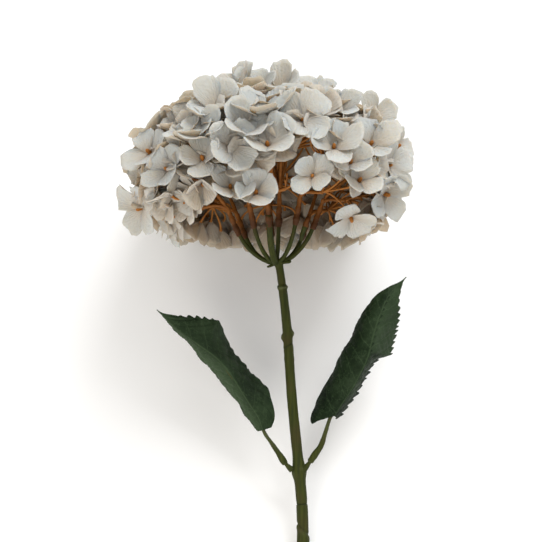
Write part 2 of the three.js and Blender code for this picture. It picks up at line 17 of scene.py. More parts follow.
import bpy
import numpy as np
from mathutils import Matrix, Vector

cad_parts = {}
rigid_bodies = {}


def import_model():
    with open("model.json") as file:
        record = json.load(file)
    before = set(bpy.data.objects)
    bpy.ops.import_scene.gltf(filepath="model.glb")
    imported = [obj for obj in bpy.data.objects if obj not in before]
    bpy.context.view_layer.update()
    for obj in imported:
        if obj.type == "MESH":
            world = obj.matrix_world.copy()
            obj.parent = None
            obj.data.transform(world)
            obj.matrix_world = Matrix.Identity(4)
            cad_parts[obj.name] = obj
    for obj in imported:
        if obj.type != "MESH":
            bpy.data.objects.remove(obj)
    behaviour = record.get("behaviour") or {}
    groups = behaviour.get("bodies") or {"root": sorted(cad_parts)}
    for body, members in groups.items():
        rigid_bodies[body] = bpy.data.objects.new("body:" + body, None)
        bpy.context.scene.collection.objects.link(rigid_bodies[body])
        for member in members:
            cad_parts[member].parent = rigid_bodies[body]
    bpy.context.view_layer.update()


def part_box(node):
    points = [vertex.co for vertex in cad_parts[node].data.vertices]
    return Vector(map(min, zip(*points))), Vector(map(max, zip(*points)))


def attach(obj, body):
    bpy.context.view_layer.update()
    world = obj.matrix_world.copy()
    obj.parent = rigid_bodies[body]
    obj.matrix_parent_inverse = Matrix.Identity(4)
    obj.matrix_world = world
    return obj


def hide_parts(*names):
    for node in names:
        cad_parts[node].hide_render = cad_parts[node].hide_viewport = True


log = logging.getLogger("hydrangea")

MM = 0.001
BODY = "root"
X, Y, Z = np.eye(3)
Place = tuple[float, float, float]


class Slot(Enum):
    """Material slots of the part's record."""

    PETAL = "petal_cream"
    AMBER = "spray_amber"
    STEM = "stem_green"
    LEAF = "leaf_green"


# ------------------------------------------------------------------ arithmetic on arrays
def unit(vectors: np.ndarray) -> np.ndarray:
    """Vectors scaled to length one, along the last axis."""
    return vectors / np.maximum(np.linalg.norm(vectors, axis=-1, keepdims=True), 1e-12)


def dot(a: np.ndarray, b: np.ndarray) -> np.ndarray:
    """Scalar product along the last axis, which is kept with length one."""
    return np.sum(a * b, axis=-1, keepdims=True)


def draw(thing: np.ndarray | int, choice: np.ndarray | int) -> np.ndarray:
    """Repeatable draw between 0 and 1 for a numbered choice about a numbered thing.

    Args:
        thing: Number or numbers of the thing.
        choice: Number or numbers of the choice.

    Returns:
        The fraction of a large multiple of a sine, which looks random.
    """
    value = np.sin(12.9898 * np.asarray(thing, float) + 78.233 * np.asarray(choice, float)) * 43758.5453
    return value - np.floor(value)


def turned(vectors: np.ndarray, axes: np.ndarray, degrees: np.ndarray | float) -> np.ndarray:
    """Vectors turned about axes of length one by the right-hand rule.

    Args:
        vectors: Vectors, shape (..., 3).
        axes: Axes, shape (..., 3).
        degrees: Angles, shape (...).

    Returns:
        v cos a + (k x v) sin a + k (k.v)(1 - cos a), shape (..., 3).
    """
    angle = np.radians(np.asarray(degrees, float))[..., None]
    along_axis = axes * dot(axes, vectors) * (1 - np.cos(angle))
    return vectors * np.cos(angle) + np.cross(axes, vectors) * np.sin(angle) + along_axis


def bell(off: np.ndarray, width: float) -> np.ndarray:
    """Rounded hill: 1 at no distance, and falling away over a width."""
    return np.exp(-((off / width) ** 2))


def run_along(points: np.ndarray) -> np.ndarray:
    """Distance run along a line at each of its points."""
    return np.concatenate([[0], np.cumsum(np.linalg.norm(np.diff(points, axis=0), axis=1))])


def read_along(at: np.ndarray, run: np.ndarray, vectors: np.ndarray) -> np.ndarray:
    """Vectors that stand at rising values of a run, read in between at other values."""
    return np.stack([np.interp(at, run, vectors[:, axis]) for axis in range(3)], axis=-1)


def bezier(a: np.ndarray, b: np.ndarray, c: np.ndarray, d: np.ndarray, steps: int) -> np.ndarray:
    """Cubic Bezier curves as points.

    Args:
        a: Starts, shape (n, 3).
        b: First handles.
        c: Second handles.
        d: Ends.
        steps: Points on each curve.

    Returns:
        Points, shape (n, steps, 3).
    """
    t = np.linspace(0, 1, steps)[None, :, None]
    s = 1 - t
    a, b, c, d = (v[:, None, :] for v in (a, b, c, d))
    return s**3 * a + 3 * s * s * t * b + 3 * s * t * t * c + t**3 * d


def smooth_curve(knots: np.ndarray, count: int) -> np.ndarray:
    """Points spaced evenly along the centripetal Catmull-Rom curve through some knots.

    Each span is a cubic whose end slopes weigh the neighbouring spans by the square root of their
    lengths, and the two outer neighbours are the mirror images of the inner ones.

    Args:
        knots: Knots, shape (k, 3).
        count: Points wanted.

    Returns:
        Points, shape (count, 3).
    """
    ends = np.vstack([2 * knots[0] - knots[1], knots, 2 * knots[-1] - knots[-2]])
    gap = np.sqrt(np.linalg.norm(np.diff(ends, axis=0), axis=1))[:, None]
    p0, p1, p2, p3 = ends[:-3], ends[1:-2], ends[2:-1], ends[3:]
    g0, g1, g2 = gap[:-2], gap[1:-1], gap[2:]
    out = ((p1 - p0) / g0 - (p2 - p0) / (g0 + g1) + (p2 - p1) / g1) * g1
    into = ((p2 - p1) / g1 - (p3 - p1) / (g1 + g2) + (p3 - p2) / g2) * g1
    t = np.linspace(0, 1, 60, endpoint=False)[None, :, None]
    p1, p2, out, into = (v[:, None, :] for v in (p1, p2, out, into))
    spans = p1 + out * t + (3 * (p2 - p1) - 2 * out - into) * t**2 + (2 * (p1 - p2) + out + into) * t**3
    points = np.vstack([spans.reshape(-1, 3), knots[-1:]])
    run = run_along(points)
    return read_along(np.linspace(0, run[-1], count), run, points)


def waves(at: np.ndarray, seeds: np.ndarray, counts: Sequence[float], choice: int) -> np.ndarray:
    """Sum of sine waves with seeded phases, weaker as they get finer.

    Args:
        at: Where to read the waves, with one turn of the first wave per unit.
        seeds: Number of the thing that each wave belongs to, of a shape that fits with at.
        counts: Waves per unit.
        choice: First of the seeded choices used.

    Returns:
        Heights of about -1 to 1.
    """
    turns = [n * at + draw(seeds, choice + i) for i, n in enumerate(counts)]
    total = sum(np.sin(math.tau * turn) / (1 + i) for i, turn in enumerate(turns))
    return total / sum(1 / (1 + i) for i in range(len(counts)))


# ------------------------------------------------------------------ the laid flower
@dataclass(frozen=True)
class LaidFlower:
    """Where the flower lies on the table.

    Attributes:
        tilt: Slope of the stem in radians.
        hub: Place of the hub in the table's frame, in millimetres.
    """

    tilt: float
    hub: np.ndarray

    def up(self) -> np.ndarray:
        """The table's vertical, in the flower frame."""
        return np.array([0, math.sin(self.tilt), math.cos(self.tilt)])

    def on_table(self, points: np.ndarray) -> np.ndarray:
        """Points of the flower frame in the table's frame, in millimetres."""
        s, c = math.sin(self.tilt), math.cos(self.tilt)
        x, y, z = np.moveaxis(points, -1, 0)
        return np.stack([x, y * c - z * s, y * s + z * c], axis=-1) + self.hub

    def lifted(self, points: np.ndarray, lowest: np.ndarray | float) -> np.ndarray:
        """Points moved straight up where they would be lower than a height over the table.

        Args:
            points: Points in the flower frame, shape (..., 3).
            lowest: Least height in millimetres, one for all or an array that fits the points.

        Returns:
            The points, shape (..., 3).
        """
        short = np.maximum(lowest - self.hub[2] - points @ self.up(), 0)
        return points + short[..., None] * self.up()


# ------------------------------------------------------------------ meshes
@dataclass
class Skin:
    """Points and faces of a mesh under construction, with what its material reads.

    Attributes:
        points: Points, shape (n, 3).
        faces: Arrays of faces, each of one number of corners.
        uv: Place on the surface for every point, shape (n, 2).
        tone: A shade between 0 and 1 for every point.
    """

    points: np.ndarray
    faces: list[np.ndarray]
    uv: np.ndarray
    tone: np.ndarray

    @staticmethod
    def joined(skins: Sequence["Skin"]) -> "Skin":
        """Several skins as one, with their faces renumbered."""
        starts = np.cumsum([0] + [len(skin.points) for skin in skins[:-1]])
        return Skin(
            np.vstack([skin.points for skin in skins]),
            [faces + start for skin, start in zip(skins, starts) for faces in skin.faces],
            np.vstack([skin.uv for skin in skins]),
            np.concatenate([skin.tone for skin in skins]),
        )


def grid_quads(rows: int, columns: int, wrapped: bool = False) -> np.ndarray:
    """Quads between the points of a grid, turning left when seen from (rows x columns).

    Args:
        rows: Rows of points.
        columns: Columns of points.
        wrapped: Whether the last column joins the first.

    Returns:
        Corner numbers, shape (quads, 4).
    """
    index = np.arange(rows * columns).reshape(rows, columns)
    right = np.roll(index, -1, axis=1)
    keep = slice(None) if wrapped else slice(0, columns - 1)
    corners = [index[:-1, keep], index[1:, keep], right[1:, keep], right[:-1, keep]]
    return np.stack(corners, axis=-1).reshape(-1, 4)


def thin_sheets(
    middle: np.ndarray, thickness: np.ndarray | float, uv: np.ndarray, tone: np.ndarray
) -> Skin:
    """Closed thin sheets round grids of points, all of the same rows and columns.

    The upper face lies half the thickness out along the grid's own normal, which is the product of
    its slopes along rows and columns, and the lower face as far the other way. A wall joins them.

    Args:
        middle: Middle surfaces, shape (sheets, rows, columns, 3).
        thickness: Thickness in millimetres, one number or one for each point.
        uv: Place on the surface, shape (sheets, rows, columns, 2).
        tone: Shade, shape (sheets, rows, columns).

    Returns:
        The sheets as one skin.
    """
    sheets, rows, columns, _ = middle.shape
    normal = unit(np.cross(np.gradient(middle, axis=1), np.gradient(middle, axis=2)))
    half = normal * (np.broadcast_to(thickness, middle.shape[:3])[..., None] / 2)
    both = np.stack([middle + half, middle - half], axis=1).reshape(-1, 3)
    count = rows * columns
    top = grid_quads(rows, columns)
    index = np.arange(count).reshape(rows, columns)
    rim = np.concatenate([index[:-1, 0], index[-1, :-1], index[:0:-1, -1], index[0, :0:-1]])
    after = np.roll(rim, -1)
    walls = np.stack([after, rim, rim + count, after + count], axis=1)
    one = np.vstack([top, top[:, ::-1] + count, walls])
    faces = (one[None] + 2 * count * np.arange(sheets)[:, None, None]).reshape(-1, 4)
    return Skin(
        both,
        [faces],
        np.repeat(uv[:, None], 2, axis=1).reshape(-1, 2),
        # The lower face's tone is raised by 1: petals paint shade there, leaves their lighter underside.
        np.stack([tone, tone + 1], axis=1).reshape(-1),
    )


def rings(paths: np.ndarray, sides: int) -> np.ndarray:
    """Directions round each point of some paths, square to them, which twist little on the way.

    A fixed direction, square to the path's chord, is laid flat against each cross-section.

    Args:
        paths: Points, shape (n, steps, 3).
        sides: Directions wanted round each point.

    Returns:
        Outward directions, shape (n, steps, sides, 3).
    """
    way = unit(np.gradient(paths, axis=1))
    chord = unit(paths[:, -1] - paths[:, 0])
    guide = np.where(np.abs(chord[:, 2:]) < 0.9, Z, X)
    across = unit(np.cross(guide, chord))[:, None, :]
    across = unit(across - way * dot(across, way))
    other = np.cross(way, across)
    angle = (2 * math.pi * np.arange(sides) / sides)[None, None, :, None]
    return across[:, :, None] * np.cos(angle) + other[:, :, None] * np.sin(angle)


def tubes(paths: np.ndarray, radii: np.ndarray, sides: int, tone: np.ndarray | float = 0.5) -> Skin:
    """Closed tubes along paths that all have the same number of points.

    Args:
        paths: Points, shape (n, steps, 3).
        radii: Radii, shape (n, steps), or (n, steps, sides) where they vary round the tube.
        sides: Sides of each tube.
        tone: Shade, one number or shape (n, steps).

    Returns:
        The tubes as one skin.
    """
    count, steps, _ = paths.shape
    reach = radii[..., None] if radii.ndim == 2 else radii
    reach = np.broadcast_to(reach, (count, steps, sides))
    points = paths[:, :, None] + rings(paths, sides) * reach[..., None]
    quads = grid_quads(steps, sides, wrapped=True)[:, ::-1]
    first = np.arange(sides)[::-1][None]
    last = np.arange(sides)[None] + (steps - 1) * sides
    starts = steps * sides * np.arange(count)[:, None, None]
    run = np.cumsum(np.linalg.norm(np.diff(paths, axis=1, prepend=paths[:, :1]), axis=-1), axis=1)
    uv = np.stack(np.broadcast_arrays(np.arange(sides) / sides, run[..., None]), axis=-1)
    shade = np.broadcast_to(np.asarray(tone, float), (count, steps))
    return Skin(
        points.reshape(-1, 3),
        [(part[None] + starts).reshape(-1, part.shape[1]) for part in (quads, first, last)],
        uv.reshape(-1, 2),
        np.repeat(shade[..., None], sides, axis=-1).reshape(-1),
    )


def add_piece(
    name: str,
    skin: Skin,
    flower: LaidFlower,
    finish: bpy.types.Material,
    nodes: Sequence[str],
) -> None:
    """Puts a skin into the scene as a smooth piece that stands for CAD nodes.

    Args:
        name: Name of the piece.
        skin: Its mesh, in the flower frame in millimetres.
        flower: Where the flower lies.
        finish: Its material.
        nodes: CAD nodes that it takes the place of.
    """
    mesh = bpy.data.meshes.new(name)
    faces = [face for part in skin.faces for face in part.tolist()]
    mesh.from_pydata((flower.on_table(skin.points) * MM).tolist(), [], faces)
    corners = np.zeros(len(mesh.loops), np.int32)
    mesh.loops.foreach_get("vertex_index", corners)
    mesh.uv_layers.new(name="surface").data.foreach_set("uv", skin.uv[corners].astype(np.float32).ravel())
    mesh.attributes.new("tone", "FLOAT", "POINT").data.foreach_set("value", skin.tone.astype(np.float32))
    mesh.polygons.foreach_set("use_smooth", np.ones(len(mesh.polygons), bool))
    mesh.update()
    piece = bpy.data.objects.new(name, mesh)
    bpy.context.scene.collection.objects.link(piece)
    piece.data.materials.append(finish)
    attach(piece, BODY)
    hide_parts(*nodes)
    log.info("%s: %d points, %d faces", name, len(mesh.vertices), len(mesh.polygons))


# ------------------------------------------------------------------ node graphs
Colour = tuple[float, float, float, float]


class Graph:
    """A material's node graph, with a short call for each kind of node that the finishes use."""

    def __init__(self, name: str) -> None:
        """Makes a material with a Principled shader and its output.

        Args:
            name: Name of the material.
        """
        self.material = bpy.data.materials.new(name)
        self.material.use_nodes = True
        self.tree = self.material.node_tree
        self.shader = self.tree.nodes["Principled BSDF"]

    def node(self, kind: str, **settings: object) -> bpy.types.Node:
        """A node of a kind, with its properties set."""
        made = self.tree.nodes.new(kind)
        for key, value in settings.items():
            setattr(made, key, value)
        return made

    def feed(self, socket: bpy.types.NodeSocket, value: object) -> None:
        """Links an output to a socket, or sets the socket to a plain value."""
        if isinstance(value, bpy.types.NodeSocket):
            self.tree.links.new(value, socket)
        else:
            socket.default_value = value

    def place(self) -> bpy.types.NodeSocket:
        """Place on the object, in metres."""
        return self.node("ShaderNodeTexCoord").outputs["Object"]

    def surface(self) -> tuple[bpy.types.NodeSocket, bpy.types.NodeSocket]:
        """The piece's own two surface coordinates."""
        split = self.node("ShaderNodeSeparateXYZ")
        self.feed(split.inputs[0], self.node("ShaderNodeUVMap", uv_map="surface").outputs[0])
        return split.outputs[0], split.outputs[1]

    def tone(self) -> bpy.types.NodeSocket:
        """The shade stored at each point."""
        return self.node("ShaderNodeAttribute", attribute_name="tone").outputs["Fac"]

    def math(self, operation: str, *values: object) -> bpy.types.NodeSocket:
        """Arithmetic on one, two or three numbers."""
        made = self.node("ShaderNodeMath", operation=operation)
        for socket, value in zip(made.inputs, values):
            self.feed(socket, value)
        return made.outputs[0]

    def vector(self, x: object, y: object, z: object) -> bpy.types.NodeSocket:
        """Three numbers as a vector."""
        made = self.node("ShaderNodeCombineXYZ")
        for socket, value in zip(made.inputs, (x, y, z)):
            self.feed(socket, value)
        return made.outputs[0]

    def noise(
        self, at: object, scale: float, detail: float = 3, rough: float = 0.5
    ) -> bpy.types.NodeSocket:
        """Smooth noise of about 0 to 1.

        Args:
            at: Place to read it.
            scale: Patches per unit of place.
            detail: Number of finer layers.
            rough: Strength of the finer layers.

        Returns:
            The noise.
        """
        made = self.node("ShaderNodeTexNoise")
        for key, value in {"Vector": at, "Scale": scale, "Detail": detail, "Roughness": rough}.items():
            self.feed(made.inputs[key], value)
        return made.outputs["Fac"]

    def stretched(self, at: object, x: float, y: float, z: float, turn: float = 0) -> bpy.types.NodeSocket:
        """A place scaled along each axis after it is turned back about X."""
        back = self.node("ShaderNodeMapping", vector_type="TEXTURE")
        self.feed(back.inputs["Vector"], at)
        self.feed(back.inputs["Rotation"], (turn, 0, 0))
        sized = self.node("ShaderNodeMapping")
        self.feed(sized.inputs["Vector"], back.outputs[0])
        self.feed(sized.inputs["Scale"], (x, y, z))
        return sized.outputs[0]

    def ramp(self, value: object, stops: Sequence[tuple[float, object]]) -> bpy.types.NodeSocket:
        """Colours or greys at places between 0 and 1, blended between them.

        Args:
            value: Where to read the ramp.
            stops: Pairs of a place and a colour or a grey level.

        Returns:
            The colour.
        """
        made = self.node("ShaderNodeValToRGB")
        bar = made.color_ramp
        while len(bar.elements) < len(stops):
            bar.elements.new(0.5)
        for element, (at, colour) in zip(bar.elements, stops):
            element.position = at
            element.color = colour if isinstance(colour, tuple) else (colour, colour, colour, 1)
        self.feed(made.inputs[0], value)
        return made.outputs[0]

    def mix(self, share: object, a: object, b: object) -> bpy.types.NodeSocket:
        """Colour a with a share of colour b."""
        made = self.node("ShaderNodeMix", data_type="RGBA")
        for socket, value in zip((made.inputs[0], made.inputs[6], made.inputs[7]), (share, a, b)):
            self.feed(socket, value)
        return made.outputs[2]

    def bump(
        self, height: object, distance: float, strength: float, under: object = None
    ) -> bpy.types.NodeSocket:
        """Relief whose height is taken times a distance in metres.

        Args:
            height: Height between 0 and 1.
            distance: Height in metres that 1 stands for.
            strength: Share of the relief that shows.
            under: Relief that it is laid over, if there is one.

        Returns:
            The relief as a normal.
        """
        made = self.node("ShaderNodeBump")
        self.feed(made.inputs["Height"], height)
        self.feed(made.inputs["Distance"], distance)
        self.feed(made.inputs["Strength"], strength)
        if under is not None:
            self.feed(made.inputs["Normal"], under)
        return made.outputs[0]

    def dress(self, **sockets: object) -> bpy.types.Material:
        """Sets the shader's sockets by name, with _ for a space, and returns the material."""
        for key, value in sockets.items():
            self.feed(self.shader.inputs[key.replace("_", " ")], value)
        return self.material


@dataclass(frozen=True)
class PetalCloth:
    """Cream cloth petals: a fine crinkle, fanned veins, painted warm shade at the base and painted shade
    underneath.

    Attributes:
        light: Colour of the broad outer part.
        cool: The same on petals with a low tone.
        painted_warm_shade: Painted warm shade near the floret's middle, for the shade between petals and
            light off the twigs.
        under: Colour of the painted shade on the underside, darker and warmer than the upper side.
        speckle: Colour of the faint stains.
        veins: Number of the veins across a petal.
    """

    light: Colour = (0.485, 0.492, 0.472, 1)
    cool: Colour = (0.430, 0.446, 0.432, 1)
    painted_warm_shade: Colour = (0.42, 0.31, 0.21, 1)
    under: Colour = (0.435, 0.408, 0.355, 1)
    speckle: Colour = (0.39, 0.355, 0.285, 1)
    veins: float = 17

    def make(self) -> bpy.types.Material:
        """The material."""
        g = Graph("petal_cloth")
        across, out = g.surface()
        half_tone = g.math("MULTIPLY", g.tone(), 0.5)
        # Half tones past 0.5 belong to the lower face, which gets the painted underside shade.
        shades = [(0.07, self.cool), (0.4, self.light), (0.5, self.light), (0.53, self.under)]
        base = g.ramp(half_tone, shades)
        patch = g.noise(g.place(), 90, 4, 0.6)
        # Painted warm shade near the floret's middle, and over most of the inner florets, whose pattern is
        # read a short way out.
        near = g.ramp(g.math("MULTIPLY_ADD", patch, 0.16, out), [(0.14, 1.0), (0.36, 0.6), (0.8, 0.0)])
        base = g.mix(g.math("MULTIPLY", near, 0.72), base, self.painted_warm_shade)
        base = g.mix(g.ramp(patch, [(0.35, 0.25), (0.62, 0.0)]), base, self.speckle)
        wander = g.noise(g.vector(across, out, g.tone()), 6, 2)
        bent = g.math("MULTIPLY_ADD", wander, 0.12, across)
        fan = g.math("SINE", g.math("MULTIPLY", bent, self.veins * math.tau))
        crinkle = g.noise(g.place(), 420, 5, 0.65)
        weave = g.noise(g.place(), 2600, 2, 0.5)
        relief = g.bump(fan, 0.00012, 0.7)
        relief = g.bump(crinkle, 0.0008, 0.55, relief)
        relief = g.bump(weave, 0.00012, 0.35, relief)
        return g.dress(
            Base_Color=base,
            Roughness=g.ramp(crinkle, [(0.3, 0.72), (0.7, 0.9)]),
            Normal=relief,
            Subsurface_Weight=0.5,
            Subsurface_Radius=(1.0, 0.74, 0.5),
            Subsurface_Scale=0.0022,
            Specular_IOR_Level=0.25,
            Sheen_Weight=0.15,
        )


@dataclass(frozen=True)
class AmberPlastic:
    """Moulded amber plastic of the twigs, darker near the sockets.

    Attributes:
        bright: Colour of the thin twigs.
        middle: Colour of the branches.
        deep: Colour in the hollows and at the sockets.
    """

    bright: Colour = (0.40, 0.155, 0.031, 1)
    middle: Colour = (0.205, 0.070, 0.011, 1)
    deep: Colour = (0.062, 0.020, 0.003, 1)

    def make(self) -> bpy.types.Material:
        """The material."""
        g = Graph("twig_amber")
        patch = g.noise(g.place(), 260, 4, 0.6)
        shade = g.math("ADD", g.math("MULTIPLY", patch, 0.5), g.math("MULTIPLY", g.tone(), 0.7))
        base = g.ramp(shade, [(0.2, self.deep), (0.5, self.middle), (0.85, self.bright)])
        relief = g.bump(g.noise(g.place(), 900, 4, 0.6), 0.0008, 0.7)
        return g.dress(
            Base_Color=base,
            Roughness=g.ramp(patch, [(0.3, 0.42), (0.7, 0.62)]),
            Normal=relief,
            Specular_IOR_Level=0.2,
        )


@dataclass(frozen=True)
class StemPlastic:
    """Olive-green moulded plastic: long streaks, brown stains, lighter scars, painted shade in grooves and
    painted highlights.

    Attributes:
        slope: Slope of the laid stem, so that the streaks run along it.
        green: Colour of most of it.
        dark: Colour between the streaks.
        fresh: Colour of the brightest streaks.
        brown: Colour of the stains.
        pale_and_highlight: Colour where the tone is high: scars, flash and sleeve rims, and a painted
            highlight where the relief rises.
        hollow_shade: Colour of painted shade where the tone is low, in the joint grooves and the crease;
            the arms also darken towards the hub.
    """

    slope: float
    green: Colour = (0.038, 0.045, 0.006, 1)
    dark: Colour = (0.018, 0.025, 0.004, 1)
    fresh: Colour = (0.056, 0.065, 0.011, 1)
    brown: Colour = (0.046, 0.034, 0.011, 1)
    pale_and_highlight: Colour = (0.13, 0.14, 0.07, 1)
    hollow_shade: Colour = (0.010, 0.017, 0.004, 1)

    def make(self) -> bpy.types.Material:
        """The material."""
        g = Graph("stem_plastic")
        streak = g.noise(g.stretched(g.place(), 700, 45, 700, self.slope), 1, 4, 0.6)
        patch = g.noise(g.place(), 75, 3, 0.55)
        base = g.ramp(streak, [(0.3, self.dark), (0.6, self.green), (0.8, self.fresh)])
        base = g.mix(g.ramp(patch, [(0.48, 0.0), (0.68, 0.6)]), base, self.brown)
        # Lighter where the tone is high: the marks' own colour and a painted highlight on raised relief.
        base = g.mix(g.ramp(g.tone(), [(0.55, 0.0), (1.0, 0.75)]), base, self.pale_and_highlight)
        # Painted shade where the tone is low: joint grooves and the slanting crease; the arms darken
        # towards the hub.
        base = g.mix(g.ramp(g.tone(), [(0.0, 0.8), (0.45, 0.0)]), base, self.hollow_shade)
        relief = g.bump(streak, 0.0009, 0.35)
        relief = g.bump(g.noise(g.place(), 1500, 3, 0.6), 0.0003, 0.4, relief)
        return g.dress(
            Base_Color=base,
            Roughness=g.ramp(patch, [(0.3, 0.5), (0.7, 0.66)]),
            Normal=relief,
            Specular_IOR_Level=0.14,
        )


@dataclass(frozen=True)
class LeafCloth:
    """Dark green pressed cloth: fine weave, printed side veins, a lighter underside tone.

    Attributes:
        veins: Side veins on each half.
        lead: How far a side vein runs on towards the tip, as a share of the leaf's length.
        fold: Shares of the length between which the left half laps over the right one, if it does.
        teeth: Teeth along a margin, which the lapped edge shows too.
        green: Colour of most of the cloth.
        deep: Colour of the darkest patches.
        light: Colour where the cloth catches the light and is lapped.
        vein: Colour of the printed veins.
    """

    veins: float
    lead: float
    fold: tuple[float, float] | None
    teeth: float
    green: Colour = (0.007, 0.016, 0.005, 1)
    deep: Colour = (0.002, 0.006, 0.002, 1)
    light: Colour = (0.040, 0.066, 0.031, 1)
    vein: Colour = (0.060, 0.095, 0.045, 1)

    def lapped(self, g: Graph, across: bpy.types.NodeSocket, share: bpy.types.NodeSocket) -> object:
        """Finds the part of the right half that the left one's toothed margin leaves free.

        Args:
            g: The graph.
            across: Place across the leaf, 0 to 1.
            share: Share of the leaf's length.

        Returns:
            1 on that part and 0 elsewhere.
        """
        if not self.fold:
            return 0.0
        start, end = self.fold
        saw = g.math("FRACT", g.math("MULTIPLY", share, self.teeth))
        beyond = g.math("SUBTRACT", across, g.math("MULTIPLY_ADD", saw, 0.05, 0.5))
        free = g.ramp(g.math("MULTIPLY_ADD", beyond, 20.0, 0.5), [(0.45, 0.0), (0.55, 1.0)])
        run = g.ramp(share, [(start, 0.0), (start + 0.02, 1.0), (end - 0.03, 1.0), (end, 0.0)])
        return g.math("MULTIPLY", free, run)

    def make(self) -> bpy.types.Material:
        """The material."""
        g = Graph("leaf_cloth_lapped" if self.fold else "leaf_cloth")
        across, share = g.surface()
        side = g.math("ABSOLUTE", g.math("MULTIPLY_ADD", across, 2.0, -1.0))
        wander = g.noise(g.vector(across, share, 0.0), 9, 2)
        led = g.math("MULTIPLY", g.math("POWER", side, 0.85), -self.lead)
        along = g.math("ADD", share, led)
        count = g.math("MULTIPLY_ADD", along, self.veins, g.math("MULTIPLY", wander, 0.35))
        off = g.math("ABSOLUTE", g.math("SUBTRACT", g.math("FRACT", count), 0.5))
        rib = g.ramp(off, [(0.0, 1.0), (0.02, 0.7), (0.05, 0.0)])
        middle = g.ramp(side, [(0.0, 1.0), (0.012, 0.8), (0.03, 0.0)])
        fade = g.ramp(side, [(0.3, 1.0), (0.95, 0.12)])
        side_veins = g.math("MULTIPLY", g.math("MULTIPLY", rib, fade), 0.4)
        veined = g.math("MAXIMUM", side_veins, g.math("MULTIPLY", middle, 0.7))
        lapped = self.lapped(g, across, share)
        patch = g.noise(g.place(), 55, 5, 0.6)
        base = g.ramp(patch, [(0.36, self.deep), (0.52, self.green), (0.9, self.light)])
        # A high tone paints a highlight; the lower face's tone gives the lighter underside.
        base = g.mix(g.ramp(g.tone(), [(0.1, 0.0), (1.0, 0.9)]), base, self.light)
        base = g.mix(g.math("MULTIPLY", lapped, 0.5), base, self.light)
        base = g.mix(g.math("MULTIPLY", veined, 0.6), base, self.vein)
        net = g.noise(g.place(), 520, 4, 0.7)
        vein_net = g.math("ABSOLUTE", g.math("SUBTRACT", g.noise(g.place(), 210, 4, 0.6), 0.5))
        base = g.mix(g.ramp(vein_net, [(0.0, 0.5), (0.012, 0.0)]), base, self.vein)
        weave = g.noise(g.place(), 3000, 2, 0.5)
        relief = g.bump(rib, 0.00025, 0.5)
        relief = g.bump(g.math("SUBTRACT", 1.0, lapped), 0.0012, 0.9, relief) if self.fold else relief
        relief = g.bump(net, 0.0007, 0.4, relief)
        relief = g.bump(weave, 0.00012, 0.35, relief)
        return g.dress(
            Base_Color=base,
            Roughness=g.ramp(net, [(0.3, 0.5), (0.7, 0.72)]),
            Normal=relief,
            Specular_IOR_Level=0.09,
        )


@dataclass(frozen=True)
class FloorPaint:
    """Pale matt floor with a faint mottle.

    Attributes:
        colour: Colour of most of it.
        mottle: Colour that it is faintly mottled with.
    """

    colour: Colour = (0.93, 0.93, 0.925, 1)
    mottle: Colour = (0.88, 0.88, 0.88, 1)

    def make(self) -> bpy.types.Material:
        """The material."""
        g = Graph("floor_paint")
        patch = g.noise(g.place(), 3, 4, 0.5)
        base = g.mix(g.math("MULTIPLY", patch, 0.05), self.colour, self.mottle)
        return g.dress(Base_Color=base, Roughness=0.85)


# ------------------------------------------------------------------ florets
@dataclass
class Florets:
    """Some florets: where each stands, how it faces and its own choices, as arrays of one length.

    Attributes:
        centre: Middles, shape (n, 3).
        normal: Facing directions.
        right: First direction in the floret's plane.
        up: Second direction in the floret's plane.
        spin: Turn of the petals in their plane, degrees.
        rise: Rise of the petals out of their plane, degrees.
        size: Size as a share of the full size.
        seed: Number that a floret's draws use.
    """

    centre: np.ndarray
    normal: np.ndarray
    right: np.ndarray
    up: np.ndarray
    spin: np.ndarray
    rise: np.ndarray
    size: np.ndarray
    seed: np.ndarray

    def __len__(self) -> int:
        """Number of florets."""
        return len(self.centre)

    def chosen(self, which: np.ndarray) -> "Florets":
        """Those picked by a mask or by numbers."""
        return Florets(**{key: value[which] for key, value in vars(self).items()})

    def together(self, other: "Florets") -> "Florets":
        """These and some more."""
        pairs = {key: [value, getattr(other, key)] for key, value in vars(self).items()}
        return Florets(**{key: np.concatenate(pair) for key, pair in pairs.items()})


# The florets of the side that faces up: across and along from the head's middle, how far each
# faces to the right and up the stem, its spin and the rise of its petals in degrees, and its size.
SHOWN_FLORETS = np.array([
    [-70, 9, -35, 25, 30, 28, 1.05],
    [-45, 11, -15, 60, 20, 38, 1.05],
    [-28, 32, -12, 42, 48, 40, 1.2],
    [-11, 16, 0, 38, 30, 34, 1.05],
    [-21, 7, 10, 5, 40, 34, 1.05],
    [7, 30, -45, 45, 10, 36, 1.05],
    [21, 24, 5, 15, 50, 30, 1.2],
    [65, 35, 25, 30, 10, 28, 1],
    [62, 12, 15, 28, 15, 30, 1.15],
    [40, 7, 8, 32, 0, 34, 1.1],
    [27, -10, 0, 5, 45, 30, 0.85],
    [55, -11, 15, 20, 45, 34, 0.95],
    [74, 3, 50, 5, 20, 28, 1.05],
    [-21, -17, 10, 28, -35, 40, 0.95],
    [-6, -20, 8, 15, 10, 38, 0.95],
    [-77, -20, -52, -22, 40, 22, 1.1],
    [51, -30, 25, -55, 45, 20, 0.95],
    [43, 33, 12, 45, 30, 36, 1],
    [80, 17, 55, 25, 0, 28, 0.95],
    [72, -14, 40, -15, 45, 25, 1],
    [-37, 0, -12, 25, 0, 34, 1],
    [1, 7, 0, 35, 45, 32, 1.15],
    [-58, -4, -35, 15, 50, 32, 0.95],
    [29, 47, 10, 60, 20, 40, 1.05],
    [50, -1, 10, 25, 30, 34, 0.95],
    [-56, -19, -55, 45, 15, 30, 1],
    [-4, 26, 0, 60, 20, 38, 1.1],
    [-36, 15, -10, 40, 60, 34, 1],
    [-15, 54, -45, 40, 4, 42, 1.1],
    [-5, 53, -10, 48, 2, 40, 1],
    [9, 52, -30, 44, 6, 42, 1.1],
])


